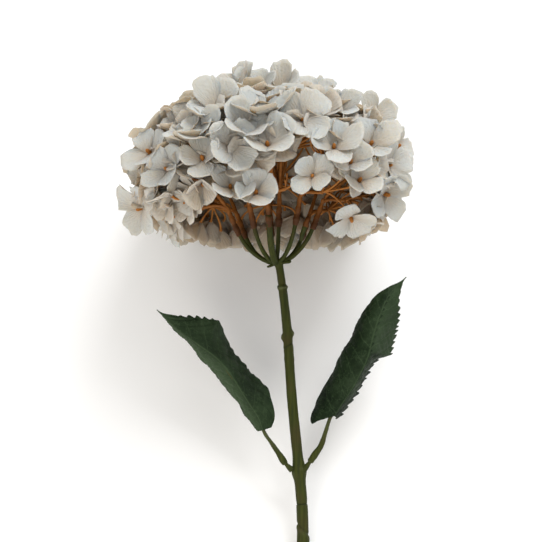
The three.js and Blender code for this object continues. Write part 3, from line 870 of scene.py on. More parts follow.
@dataclass
class FlowerHead:
    """The dome of florets, in the flower frame.

    Attributes:
        flower: Where the flower lies.
        middle: Middle of the dome.
        reach: Half widths of the dome that carries the floret centres.
        squareness: 2 for an ellipsoid, more for a boxier dome.
        dome_florets: Places on the spiral, before the crowded ones are left out.
        dome_rim: How far the florets run down under the dome's widest level.
        front_rim: The same on the upper side, where the arms show.
        front_start: Share of the upper side that keeps to the front rim.
        keep_off: Least distance of a floret of the spiral to a shown one.
        sunk: Greatest share of its reach by which the draws sink a floret of the spiral.
        rise_spread: Degrees over which the draws raise a floret's petals.
        table_clear: Least height of a floret's centre.
        shown_seed: First seed of the shown florets. The inner ones start at twice this.
        inner_florets: Places on the inner spiral, before the crowded ones are left out.
        inner_depth: Least share of the dome's reach at which an inner floret stands.
        inner_spread: How far that share spreads.
        inner_keep_off: Least distance of an inner floret to an outer one.
        fan_top: Height of the roof over the open fan of arms and twigs.
        fan_slope: How fast that roof comes down on both sides.
        fan_axis: Where across the flower it is highest.
    """

    flower: LaidFlower
    middle: np.ndarray = field(default_factory=lambda: np.array([-6.0, 54, 0]))
    reach: np.ndarray = field(default_factory=lambda: np.array([76.0, 44, 74]))
    squareness: float = 2.3
    dome_florets: int = 62
    dome_rim: float = -0.46
    front_rim: float = 0.02
    front_start: float = 0.25
    keep_off: float = 16.5
    sunk: float = 0.1
    rise_spread: float = 24
    table_clear: float = 5
    shown_seed: int = 1000
    inner_florets: int = 420
    inner_depth: float = 0.84
    inner_spread: float = 0.12
    inner_keep_off: float = 9
    fan_top: float = 70
    fan_slope: float = 0.62
    fan_axis: float = 8

    def facing(self, places: np.ndarray) -> np.ndarray:
        """Outward directions of the dome: the slope of its boxy ellipsoid."""
        share = np.abs(places / self.reach) ** (self.squareness - 1)
        return unit(np.sign(places) * share / self.reach)

    def leaned(self, normals: np.ndarray, right: np.ndarray, up: np.ndarray) -> np.ndarray:
        """Directions leaned to the right about Y, then up the stem about the level axis across."""
        aside = turned(normals, np.broadcast_to(Y, normals.shape), right)
        return unit(turned(aside, unit(np.cross(aside, Y)), up))

    def stood(self, places: np.ndarray, normals: np.ndarray, *choices: np.ndarray) -> Florets:
        """Florets at places of the dome.

        Args:
            places: Places from the dome's middle, shape (n, 3).
            normals: Facing directions.
            choices: Spin, rise, size and seed of each.

        Returns:
            The florets.
        """
        guide = np.where(np.abs(normals[:, 1:2]) < 0.9, Y, X)
        right = unit(np.cross(guide, normals))
        centre = self.flower.lifted(places + self.middle, self.table_clear)
        return Florets(centre, normals, right, np.cross(normals, right), *choices)

    def spiral(self, count: int, rim: float, front: float) -> tuple[np.ndarray, np.ndarray]:
        """Places on the dome along a golden-angle spiral, with the number of each.

        Args:
            count: Places on the whole spiral.
            rim: Level of its last turn.
            front: Lowest level on the upper side.

        Returns:
            Places, shape (n, 3), and their numbers.
        """
        number = np.arange(count)
        level = 1 - (1 - rim) * (number + 0.5) / count
        ring = np.sqrt(1 - level**2)
        angle = number * math.pi * (3 - math.sqrt(5))
        way = np.stack([ring * np.cos(angle), level, ring * np.sin(angle)], axis=1)
        far = np.sum(np.abs(way / self.reach) ** self.squareness, axis=1) ** (-1 / self.squareness)
        kept = ~((way[:, 2] > self.front_start) & (level < front))
        return (way * far[:, None])[kept], number[kept]

    def under_roof(self, places: np.ndarray) -> np.ndarray:
        """Whether places lie in the open fan of arms and twigs on the upper side, under its roof."""
        x, y, z = (places + self.middle).T
        roof = self.fan_top - self.fan_slope * np.abs(x - self.fan_axis)
        return (z > self.front_start * self.reach[2]) & (y < roof)

    def scattered(
        self, places: np.ndarray, i: np.ndarray, lean: float, rise: float, size: float, spread: float
    ) -> Florets:
        """Florets whose choices are drawn.

        Args:
            places: Places from the dome's middle, shape (n, 3).
            i: Number of each, which seeds its draws.
            lean: Degrees over which the draws lean it.
            rise: Least rise of its petals in degrees.
            size: Least size.
            spread: How far the sizes spread.

        Returns:
            The florets.
        """
        aside, along = lean * (draw(i, 2) - 0.5), lean * (draw(i, 3) - 0.5)
        normals = self.leaned(self.facing(places), aside, along)
        rises = rise + self.rise_spread * draw(i, 5)
        return self.stood(places, normals, 90 * draw(i, 4), rises, size + spread * draw(i, 6), i)

    def clear_of(self, places: np.ndarray, taken: np.ndarray, least: float) -> np.ndarray:
        """Whether places stand at least a distance off all places that are taken."""
        return np.linalg.norm(places[:, None] - taken[None], axis=-1).min(axis=1) >= least

    def placed(self) -> Florets:
        """The shown florets, then those of the spiral that stand clear of them."""
        x, y, right, up, spin, rise, size = SHOWN_FLORETS.T
        used = np.abs(np.stack([x, y]) / self.reach[:2, None]) ** self.squareness
        left = 1 - used[0] - used[1]
        shown = np.stack([x, y, self.reach[2] * np.maximum(left, 0) ** (1 / self.squareness)], axis=1)
        seeds = self.shown_seed + np.arange(len(x))
        right, up = np.radians(right), np.radians(up)
        faced = unit(np.stack([np.sin(right), np.tan(up), np.cos(right)], axis=1))
        front = self.stood(shown, faced, spin, rise, size, seeds)
        dome, i = self.spiral(self.dome_florets, self.dome_rim, self.front_rim)
        dome = dome * (1 - self.sunk * draw(i, 1))[:, None]
        clear = self.clear_of(dome, shown, self.keep_off)
        return front.together(self.scattered(dome[clear], i[clear], 44, 24, 0.92, 0.2))

    def inner(self, outer: Florets) -> Florets:
        """Smaller florets just under the outer ones, in the gaps that those leave."""
        places, i = self.spiral(self.inner_florets, self.dome_rim, -1)
        i = i + 2 * self.shown_seed
        places = places * (self.inner_depth + self.inner_spread * draw(i, 1))[:, None]
        clear = self.clear_of(places, outer.centre - self.middle, self.inner_keep_off)
        clear &= ~self.under_roof(places)
        return self.scattered(places[clear], i[clear], 50, 28, 0.82, 0.16)


@dataclass
class Petal:
    """Shape of one petal and how it is cut into a grid.

    The outline is given in turns about the floret's middle: the reach is 1 ahead and shrinks as the
    cosine of a hidden angle raised to a power, while the direction swings out to the fan's half
    angle as that hidden angle's share raised to another power.

    Attributes:
        length: Full length in millimetres.
        thickness: Thickness of the cloth.
        fan: Half angle of the fan in degrees.
        rows: Points from the middle outwards.
        columns: Points across.
        least: Share of the reach at which the cloth starts.
        hidden: The hidden angle at the sides, in degrees.
        bare: How far out the cloth's pattern is read, so that the painted warm shade spreads where it is
            under 1.
        ragged: Height of the rim's waves, as a share of the reach, as the next two are.
        point: Greatest height of the point at the middle of the rim.
        fray: Height of the rim's finest steps.
        ruffle: Height of the broad waves of the surface, as a share of the length.
        pleat: Height of its narrow waves.
        turn_spread: Degrees over which the draws turn a petal in its floret's plane.
        pitch_spread: Degrees over which they raise it.
        length_spread: Share by which their lengths spread.
        layer: How much higher every second petal lies, in millimetres.
        droop_spread: How much the draws change the droop along the petal.
        cup: Least rise towards the sides, and how far it spreads.
        breadth: Least breadth as a share of the full one, and how far it spreads.
        curl_start: Distance ahead, as a share of the length, from which the end curls.
        curl_spread: How much the draws change that curl.
    """

    length: float = 17
    thickness: float = 0.34
    fan: float = 50
    rows: int = 10
    columns: int = 21
    least: float = 0.07
    hidden: float = 84
    bare: float = 1
    ragged: float = 0.07
    point: float = 0.14
    fray: float = 0.08
    ruffle: float = 0.07
    pleat: float = 0.011
    turn_spread: float = 14
    pitch_spread: float = 24
    length_spread: float = 0.16
    layer: float = 0.22
    droop_spread: float = 0.3
    cup: tuple[float, float] = (0.3, 0.6)
    breadth: tuple[float, float] = (0.98, 0.24)
    curl_start: float = 0.72
    curl_spread: float = 0.9

    def outline(self) -> tuple[np.ndarray, np.ndarray, np.ndarray]:
        """Share of the hidden angle, direction in radians and reach, for each column."""
        share = np.linspace(-1, 1, self.columns)
        hidden = np.abs(share) * self.hidden
        swing = np.radians(self.fan) * np.sign(share) * (hidden / 90) ** (1 / 1.6)
        return share, swing, np.cos(np.radians(hidden)) ** 0.7

    def skins(self, florets: Florets, flower: LaidFlower) -> Skin:
        """All petals of some florets, four to each.

        A point at a share of the way out along a column has a distance ahead and aside of the
        petal's own line. It rises by the pitch and with the square of its distance aside, droops
        with the square of its distance ahead, and carries a ruffle that grows towards the rim.

        Args:
            florets: The florets.
            flower: Where the flower lies, because petals are bent where they meet the table.

        Returns:
            The petals as one skin.
        """
        k = np.tile(np.arange(4), len(florets))
        n = np.repeat(np.arange(len(florets)), 4)
        seed = florets.seed[n]
        turn = np.radians(florets.spin[n] + 90 * k + self.turn_spread * (draw(seed, 10 + k) - 0.5))
        length = self.length * florets.size[n] * (0.92 + self.length_spread * draw(seed, 20 + k))
        pitch = np.radians(florets.rise[n] + self.pitch_spread * (draw(seed, 30 + k) - 0.5))
        droop = self.droop_spread * (draw(seed, 40 + k) - 0.35)
        cup = self.cup[0] + self.cup[1] * draw(seed, 50 + k)
        own = 10 * seed + k
        broad = self.breadth[0] + self.breadth[1] * draw(own, 4)

        each = (slice(None), None, None)
        share, swing, reach = self.outline()
        ragged = self.ragged * waves(share[None], own[:, None], (0.7, 1.6, 3.4), 5)
        ragged += self.point * draw(own, 6)[:, None] * bell(share, 0.16)
        fray = self.fray * (draw(own[:, None] + 0.37 * np.arange(self.columns), 9) - 0.5)
        row = np.linspace(self.least, 1, self.rows)[None, :, None]
        rim = row**4
        distance = row * reach[None, None] * (1 + rim * (ragged + fray)[:, None])
        ahead = distance * np.cos(swing)
        aside = distance * np.sin(swing) * broad[each]
        ruffle = self.ruffle * row**3 * waves(share[None, None] * 0.8 + 0 * row, own[each], (1.0, 2.3), 12)
        pleat = self.pleat * row * waves(share[None, None] * 4, own[each], (1.0,), 16)
        curl = (self.curl_spread * draw(own, 18) - 0.35)[each]
        curl = curl * np.maximum(ahead - self.curl_start, 0) ** 2
        height = ahead * np.sin(pitch)[each] - droop[each] * ahead**2 + cup[each] * aside**2
        height = (height + ruffle + pleat + curl) * length[each] + self.layer * (k % 2)[each]
        ahead = ahead * np.cos(pitch)[each] * length[each]
        aside = aside * length[each]

        c, s = np.cos(turn)[:, None], np.sin(turn)[:, None]
        line = florets.right[n] * c + florets.up[n] * s
        across = florets.up[n] * c - florets.right[n] * s
        middle = (
            florets.centre[n][:, None, None]
            + ahead[..., None] * line[:, None, None]
            + aside[..., None] * across[:, None, None]
            + height[..., None] * florets.normal[n][:, None, None]
        )
        middle = flower.lifted(middle, (self.thickness * (1 + 4 * draw(own, 33)))[each])
        uv = np.stack(np.broadcast_arrays(0.5 + 0.5 * share[None, None], distance * self.bare), axis=-1)
        tone = np.broadcast_to(draw(own, 3)[each], distance.shape)
        return thin_sheets(middle, self.thickness, uv, tone)


# ------------------------------------------------------------------ sprays
@dataclass(frozen=True)
class Arm:
    """A green arm of the flower.

    Attributes:
        end: Where it ends.
        aim: Place on the head that its spray grows to.
    """

    end: Place
    aim: Place


@dataclass(frozen=True)
class Stub:
    """A short broken-off side branch or spur, along a Bezier curve.

    Attributes:
        knots: The curve's start, its two handles and its end.
        radii: Radius at each point of the curve.
        tone: Its shade.
    """

    knots: tuple[Place, Place, Place, Place]
    radii: tuple[float, ...]
    tone: float

    def skin(self) -> Skin:
        """Its closed tube of ten sides."""
        line = bezier(*(np.array([knot], float) for knot in self.knots), len(self.radii))
        return tubes(line, np.array([self.radii]), 10, tone=self.tone)


ARMS = (
    Arm((-24.8, 20.5, 7), (-72, 52, 8)),
    Arm((-20.5, 20.5, -13), (-46, 56, -52)),
    Arm((-14.5, 24.5, 17), (-42, 60, 50)),
    Arm((-4.5, 25, 22), (-2, 58, 66)),
    Arm((1.8, 27, 3), (-4, 104, 4)),
    Arm((-3, 23, -20), (0, 58, -68)),
    Arm((12.8, 27, 13), (36, 64, 50)),
    Arm((24.5, 25, 5), (70, 52, 8)),
    Arm((17.5, 20, -14), (46, 56, -54)),
)
ARM_BEND = np.array([0.66, 0.08, 0.66])  # an arm bends up at this share of its end's place

# A broken-off side branch on the eighth arm: its green foot and its amber top.
STUB_ARM = 7
STUB_FOOT = Stub(
    ((15.4, 12.5, 5.5), (16, 16, 7.5), (17, 19, 8.5), (18.3, 22, 9)),
    (1.0, 1.2, 1.35, 1.4, 1.4, 1.4, 1.45, 1.6, 1.2),
    0.42,
)
STUB_TOP = Stub(
    ((17.9, 21, 8.9), (18.6, 23, 9.1), (19.2, 25, 9.3), (20.2, 27.3, 9.5)),
    (1.5, 1.75, 1.6, 1.8, 1.5, 1.65, 1.35, 1.45, 0.8),
    0.05,
)
# Two moulding spurs beside the hub.
SPURS = (
    Stub(
        ((1, -0.6, 1.5), (4, -1.1, 2.5), (7, -0.5, 3), (9.4, 0.2, 3.2)),
        (1.3, 1.1, 0.95, 0.85, 0.8, 0.85, 1.0, 1.05, 0.6),
        0.55,
    ),
    Stub(
        ((0, -0.8, 1), (-2.5, -2.2, 1.6), (-4, -3, 1.8), (-5.6, -3.2, 1.9)),
        (1.2, 1.0, 0.9, 0.85, 0.8, 0.75, 0.4),
        0.4,
    ),
)


def arm_lines(steps: int) -> np.ndarray:
    """Middle lines of all arms: out of the hub nearly level, then up.

    Args:
        steps: Points on each.

    Returns:
        Points, shape (arms, steps, 3).
    """
    end = np.array([arm.end for arm in ARMS])
    start = np.stack([0.06 * end[:, 0], np.full(len(end), -0.5), 0.06 * end[:, 2]], axis=1)
    bend = end * ARM_BEND
    return bezier(start, start + (bend - start) * 2 / 3, end + (bend - end) * 2 / 3, end, steps)


@dataclass
class Sprays:
    """The amber sprays: a socket on each arm, branches, and a twig with a tip for each floret.

    Attributes:
        foot: The sprays fan out from here.
        fork_distance: Where a spray forks, beyond its arm's end.
        twig_neck: How far under a floret its twig turns to face it.
        twigs_a_branch: Outer florets on a branch.
        branch_share: How far a branch reaches towards the middle of its florets.
        branch_radius: Radius of a branch.
        twig_radius: Radius of a twig.
        socket: Pairs of a distance beyond the arm's end and the socket's radius there.
        lump: Height of the waves along the socket.
        ripple: Height of the waves round it.
        tip: Pairs of a distance out of a floret's middle and its tip's radius there.
        stub_radii: Radii along a bare side twig, which ends in a knob.
        steps: Points along a branch or twig.
    """

    foot: np.ndarray = field(default_factory=lambda: np.array([0.0, 6, 0]))
    fork_distance: float = 13
    twig_neck: float = 5
    twigs_a_branch: int = 3
    branch_share: float = 0.42
    branch_radius: float = 1.15
    twig_radius: float = 0.62
    socket: tuple[tuple[float, float], ...] = (
        (-5.5, 1.6), (-4.6, 1.8), (-2, 2.15), (0.5, 1.8), (4, 1.75), (9, 1.45), (14.5, 1.25),
    )
    lump: float = 0.32
    ripple: float = 0.16
    tip: tuple[tuple[float, float], ...] = (
        (-0.9, 0.75), (0.2, 1.0), (1.0, 1.15), (2.1, 1.05), (3.1, 1.15), (3.9, 0.8), (4.3, 0.3),
    )
    stub_radii: tuple[float, ...] = (0.8, 0.6, 0.55, 0.55, 0.6, 0.95, 0.4)
    steps: int = 12

    def way_to(self, places: np.ndarray) -> np.ndarray:
        """Directions of places as seen from the fan's foot."""
        return unit(places - self.foot)

    def shares(self, florets: Florets) -> np.ndarray:
        """Number of the arm that carries each floret: the one whose aim looks nearest to it."""
        seen = self.way_to(florets.centre - self.twig_neck * florets.normal)
        aims = self.way_to(np.array([arm.aim for arm in ARMS], float))
        return np.argmax(seen @ aims.T, axis=1)

    def joints(
        self, number: int, florets: Florets
    ) -> tuple[np.ndarray, np.ndarray, np.ndarray, np.ndarray]:
        """Finds where a spray forks and its florets branch off.

        Args:
            number: Number of the arm.
            florets: Outer florets that it carries.

        Returns:
            The fork, the direction there, the branches' joints and each floret's joint number.
        """
        line = arm_lines(3)[number]
        end = np.array(ARMS[number].end, float)
        way = unit(end - end * ARM_BEND)
        fork = line[-1] + way * self.fork_distance
        axis = self.way_to(np.array(ARMS[number].aim, float))
        level = unit(np.cross(axis, np.array([0, 1, 0.01])))
        other = np.cross(axis, level)
        off = florets.centre - fork
        order = np.argsort(np.arctan2(off @ other, off @ level), kind="stable")
        group = np.empty(len(florets), int)
        group[order] = np.arange(len(florets)) // self.twigs_a_branch
        means = np.array([florets.centre[group == g].mean(axis=0) for g in range(group.max() + 1)])
        return fork, way, fork + (means - fork) * self.branch_share, group

    def skin(self, number: int, outer: Florets, inner: Florets) -> Skin:
        """One spray's amber pieces.

        Args:
            number: Number of the arm.
            outer: Outer florets that it carries.
            inner: Inner florets that it carries.

        Returns:
            Socket, branches, twigs, stubs and tips as one skin.
        """
        fork, way, joints, group = self.joints(number, outer)
        roots = np.broadcast_to(fork - way * 2, joints.shape)
        outward = unit(joints - roots)
        near = np.argmin(np.linalg.norm(inner.centre[:, None] - joints[None], axis=-1), axis=1)
        florets = outer.together(inner)
        joint = np.concatenate([group, near])
        parts = [
            self.socket_skin(number, way),
            self.branches(number, way, roots, joints),
            self.twigs(florets, joints[joint], outward[joint]),
            self.tips(florets),
            self.stubs(joints, outward, number),
        ]
        if number == STUB_ARM:
            parts.append(STUB_TOP.skin())
        return Skin.joined(parts)

    def socket_skin(self, number: int, way: np.ndarray) -> Skin:
        """The lumpy socket over an arm's end.

        Args:
            number: Number of the arm.
            way: Direction of the arm at its end.

        Returns:
            A tube whose radius waves along it and, in short steps, round it.
        """
        at = np.linspace(self.socket[0][0], self.fork_distance + 1.5, 26)
        lump = self.lump * waves(at[None] / 6, np.array([[number]]), (1.0, 2.7, 5.1), 30)
        sides = 10
        around = np.arange(sides)[None, None] / sides
        ripple = self.ripple * waves(around, at[None, :, None] // 3 + number, (2.0, 3.0), 33)
        radii = (np.interp(at, *np.array(self.socket).T) + lump)[..., None] + ripple
        tone = np.interp(at, [-5, 1, 7, 14], [-0.2, 0.0, 0.25, 0.5])
        line = np.array(ARMS[number].end, float) + way * at[:, None]
        return tubes(line[None], radii, sides, tone[None])

    def branches(self, number: int, way: np.ndarray, roots: np.ndarray, joints: np.ndarray) -> Skin:
        """Knotty branches from the fork to the joints.

        Args:
            number: Number of the arm.
            way: Direction in which they leave the fork.
            roots: Their starts, shape (n, 3).
            joints: Their ends.

        Returns:
            The branches as one skin.
        """
        lead = np.linalg.norm(joints - roots, axis=1, keepdims=True)
        ahead, behind = way * lead * 0.35, unit(joints - roots) * lead * 0.3
        lines = bezier(roots, roots + ahead, joints - behind, joints, self.steps)
        own = np.arange(len(joints))[:, None] + 7 * number
        knots = 1 + 0.18 * waves(np.linspace(0, 2, self.steps)[None], own, (1.0, 2.2), 40)
        radii = np.linspace(self.branch_radius, 0.85 * self.branch_radius, self.steps)[None] * knots
        radii[:, -1] *= 1.25
        return tubes(lines, radii, 8, tone=np.linspace(0.35, 0.6, self.steps)[None])

    def twigs(self, florets: Florets, foot: np.ndarray, grown: np.ndarray) -> Skin:
        """A thin twig to each floret, which turns to meet it squarely.

        Args:
            florets: The florets.
            foot: Where each one's twig starts.
            grown: Direction in which it starts.

        Returns:
            The twigs as one skin.
        """
        reach = np.linalg.norm(florets.centre - foot, axis=1, keepdims=True)
        lines = bezier(
            foot,
            foot + grown * reach * 0.3,
            florets.centre - florets.normal * reach * 0.33,
            florets.centre + 0.4 * florets.normal,
            self.steps,
        )
        at = np.linspace(0, 2, self.steps)[None]
        radii = self.twig_radius * (1 + 0.15 * waves(at, florets.seed[:, None], (1.0, 2.6), 44))
        swell = np.interp(np.linspace(0, 1, self.steps), [0, 0.1, 0.85, 1], [1.5, 1.05, 0.95, 1.5])
        return tubes(lines, radii * swell[None], 6, tone=np.linspace(0.6, 0.9, self.steps)[None])

    def tips(self, florets: Florets) -> Skin:
        """The pin through each floret's middle, a little aslant."""
        at, radius = np.array(self.tip).T
        size = (0.85 + 0.35 * draw(florets.seed, 60))[:, None]
        lean = 0.35 * florets.right * (draw(florets.seed, 61) - 0.5)[:, None]
        lines = florets.centre[:, None] + unit(florets.normal + lean)[:, None] * (at * size)[..., None]
        return tubes(lines, radius * size, 6, tone=0.75)

    def stubs(self, joints: np.ndarray, outward: np.ndarray, number: int) -> Skin:
        """Two short bare side twigs at each joint, which end in a knob.

        Args:
            joints: Places of the joints.
            outward: Directions in which the branches reach them.
            number: Number of the arm, which seeds the draws.

        Returns:
            The side twigs as one skin.
        """
        start = np.repeat(joints, 2, axis=0)
        seed = 50 * number + np.arange(len(start))
        side = unit(np.stack([draw(seed, 70) - 0.5, draw(seed, 71) - 0.4, draw(seed, 72) - 0.5], axis=1))
        way = unit(np.repeat(outward, 2, axis=0) + 0.9 * side)
        run = (5 + 6 * draw(seed, 73))[:, None]
        end = start + way * run
        lines = bezier(start, start + way * run * 0.3, end - side * run * 0.2, end, 7)
        radii = np.array(self.stub_radii)[None] * (0.85 + 0.3 * draw(seed, 74))[:, None]
        return tubes(lines, radii, 6, tone=0.65)


# ------------------------------------------------------------------ stem
@dataclass(frozen=True)
class Hill:
    """A rounded bump on the stem.

    Attributes:
        height: Its height.
        angle: Where it stands round the stem in degrees, 0 to the right and 90 upwards.
        below: Its distance below the hub.
        long: Distance along the stem over which it falls away.
        wide: Angle round the stem over which it falls away.
    """

    height: float
    angle: float
    below: float
    long: float
    wide: float


HILLS = (
    # Scars where leaves broke off.
    Hill(1.25, 0, 44.5, 2, 38),
    Hill(1.2, 180, 47, 1.7, 30),
    Hill(0.5, 180, 45.4, 1, 22),
    # The node that carries the leaves.
    Hill(0.75, 185, 130, 4.5, 45),
    Hill(0.7, -5, 129, 4.5, 45),
    Hill(0.35, 70, 127.5, 1.6, 30),
    # Moulding flash at the top joint.
    Hill(0.45, 5, 15.6, 0.7, 14),
    Hill(0.4, 178, 15, 0.6, 14),
    Hill(0.3, 100, 15.8, 0.9, 20),
)


@dataclass
class Stem:
    """The stem from hub to cut end: the neck and three lengths, pushed into each other.

    Attributes:
        line: Knots of the stem's line, from the hub down.
        radius: Pairs of a distance below the hub and the radius there.
        sides: Points round the stem.
        doubled: Number of the arm that is two arms moulded as one.
        inset: Length of the rounded-over end of a length.
        slant: Distance from the stem's middle at which a sloped cut is measured.
        step: Distance between the rings of points.
        crease: Distance of the slanting crease near the cut end below the hub.
        crease_slant: How much lower the crease runs on the right than in the middle.
    """

    line: np.ndarray = field(default_factory=lambda: np.array([
        [0.6, 1.5, 0], [1.6, -1, 0], [4.1, -17, 0], [6.8, -42, 0], [9.9, -85, 0],
        [13.6, -123, 0], [15.8, -149, 0], [16.5, -173, 0], [16.6, -190, 0],
    ]))
    radius: np.ndarray = field(default_factory=lambda: np.array([
        [-1.5, 2.6], [0.5, 3.1], [3, 2.5], [14, 2.4], [15, 3.0], [16.4, 3.15], [17.4, 2.7], [42, 2.9],
        [45, 3.0], [51, 2.95], [53, 3.15], [57, 3.0], [60, 3.15], [62, 3.0], [120, 3.25], [124, 3.5],
        [130, 3.9], [134, 3.45], [146, 3.5], [148.6, 3.2], [150, 3.5], [158, 3.6], [163, 3.55],
        [172, 3.8], [190, 4.0],
    ]))
    sides: int = 40
    doubled: int = 3
    inset: float = 0.35
    slant: float = 3
    step: float = 0.6
    crease: float = 164.3
    crease_slant: float = 3.4

    def centre(self, below: np.ndarray) -> np.ndarray:
        """Points of the stem's line at distances below the hub, which is Y turned down."""
        line = smooth_curve(self.line, 1200)
        return read_along(below, -line[:, 1], line)

    def relief(self, angle: np.ndarray, below: np.ndarray) -> np.ndarray:
        """Height of the bumps and grooves on the stem.

        Args:
            angle: Angle round the stem in radians, 0 to the right and a quarter turn upwards.
            below: Distance below the hub in millimetres.

        Returns:
            Heights in millimetres.
        """
        height = 0
        for hill in HILLS:
            off = np.degrees(np.abs(np.angle(np.exp(1j * (angle - math.radians(hill.angle))))))
            height = height + hill.height * bell(off, hill.wide) * bell(below - hill.below, hill.long)
        past = below - (self.crease + self.crease_slant * np.cos(angle))
        twist = -0.5 * bell(past, 0.8) + 0.35 * bell(past - 2.4, 1.7)
        twist = twist * (0.35 + 0.65 * (np.sin(angle) > -0.5))
        swell = 0.07 * waves(below / 23, np.array(3), (1.0, 2.3, 4.7), 80)
        return height + twist + swell + 0.05 * np.sin(3 * angle + below / 19)

    def length(self, start: float, end: float, start_slope: float, end_slope: float) -> Skin:
        """One length of the stem between two joints, whose ends may be cut on a slope.

        Args:
            start: Distance of its upper end below the hub.
            end: Distance of its lower end.
            start_slope: Slope of the upper cut in degrees, lower to the right when positive.
            end_slope: The same for the lower cut.

        Returns:
            The length, closed by rounded-over ends.
        """
        rim = np.array([0, 0.12, self.inset])
        flat = np.arange(start, end, self.step)
        stations = np.unique(np.round(np.concatenate([start + rim, flat, end - rim]), 3))
        angle = -math.tau * np.arange(self.sides) / self.sides
        near_start = bell(stations - start, 5) * math.tan(math.radians(start_slope))
        near_end = bell(stations - end, 5) * math.tan(math.radians(end_slope))
        lean = (near_start + near_end)[:, None] * self.slant * np.cos(angle)
        below = stations[:, None] + lean
        edge = np.minimum(stations - start, end - stations)
        rounded = np.interp(edge, rim, [0.45, 0.2, 0])[:, None]
        relief = self.relief(angle[None], below)
        radius = np.interp(below, *self.radius.T) + relief - rounded
        centre = self.centre(below)
        way = unit(self.centre(below + 0.5) - self.centre(below - 0.5))
        across = unit(np.cross(way, -Z))
        out = across * np.cos(angle)[None, :, None] + Z * np.sin(angle)[None, :, None]
        points = centre + out * radius[..., None]
        rows = len(stations)
        quads = grid_quads(rows, self.sides, wrapped=True)
        caps = np.arange(self.sides)[None], np.arange(self.sides)[::-1][None] + (rows - 1) * self.sides
        uv = np.stack(np.broadcast_arrays(angle[None] / math.tau, below), axis=-1)
        # The tone follows the relief: painted shade in the joint grooves and crease, painted highlight on
        # what rises.
        groove, seam = bell(edge, 0.7)[:, None], bell(below - 15.8, 1.2)
        tone = np.clip(0.5 + 0.3 * np.clip(relief, -0.6, 1.2) - 0.35 * groove + 0.35 * seam, 0, 1)
        return Skin(points.reshape(-1, 3), [quads, *caps], uv.reshape(-1, 2), tone.reshape(-1))

    def arms(self) -> Skin:
        """The green arms, with the foot of the broken-off branch and the spurs beside the hub."""
        steps = 22
        lines = arm_lines(steps)
        lines[:, -1] += unit(lines[:, -1] - lines[:, -2]) * 2
        step = np.linspace(0, 1, steps)
        own = np.arange(len(lines))[:, None]
        radii = np.interp(step, [0, 0.12, 0.3, 1], [1.8, 1.5, 1.35, 1.3])[None]
        radii = radii * (1 + 0.07 * waves(step[None] * 2, own, (1.0, 2.6), 90))
        radii[self.doubled] *= np.interp(step, [0, 0.3, 1], [1.2, 1.6, 1.45])
        # The arms darken towards the hub, taking in the hollow colour.
        tone = np.interp(step, [0, 0.3, 1], [0.25, 0.44, 0.52])[None]
        arms = tubes(lines, radii, 12, tone)
        return Skin.joined([arms, STUB_FOOT.skin(), *(spur.skin() for spur in SPURS)])


# ------------------------------------------------------------------ leaves
@dataclass
class Half:
    """One half of a leaf's blade.

    Attributes:
        slope: Pairs of a share of the length and the slope at the midrib there, in degrees.
        curl: The same for how far the half curls on to its margin.
        lobe: How far it sweeps back at the base, as a share of its width.
        toothed: Pairs of a share of the length and the depth of the teeth there, 1 for the full one.
    """

    slope: Sequence[tuple[float, float]]
    curl: Sequence[tuple[float, float]]
    lobe: float
    toothed: Sequence[tuple[float, float]]

    def read(self, share: np.ndarray) -> tuple[np.ndarray, np.ndarray]:
        """Slope and curl in radians at shares of the leaf's length."""
        return tuple(np.radians(np.interp(share, *np.array(row).T)) for row in (self.slope, self.curl))


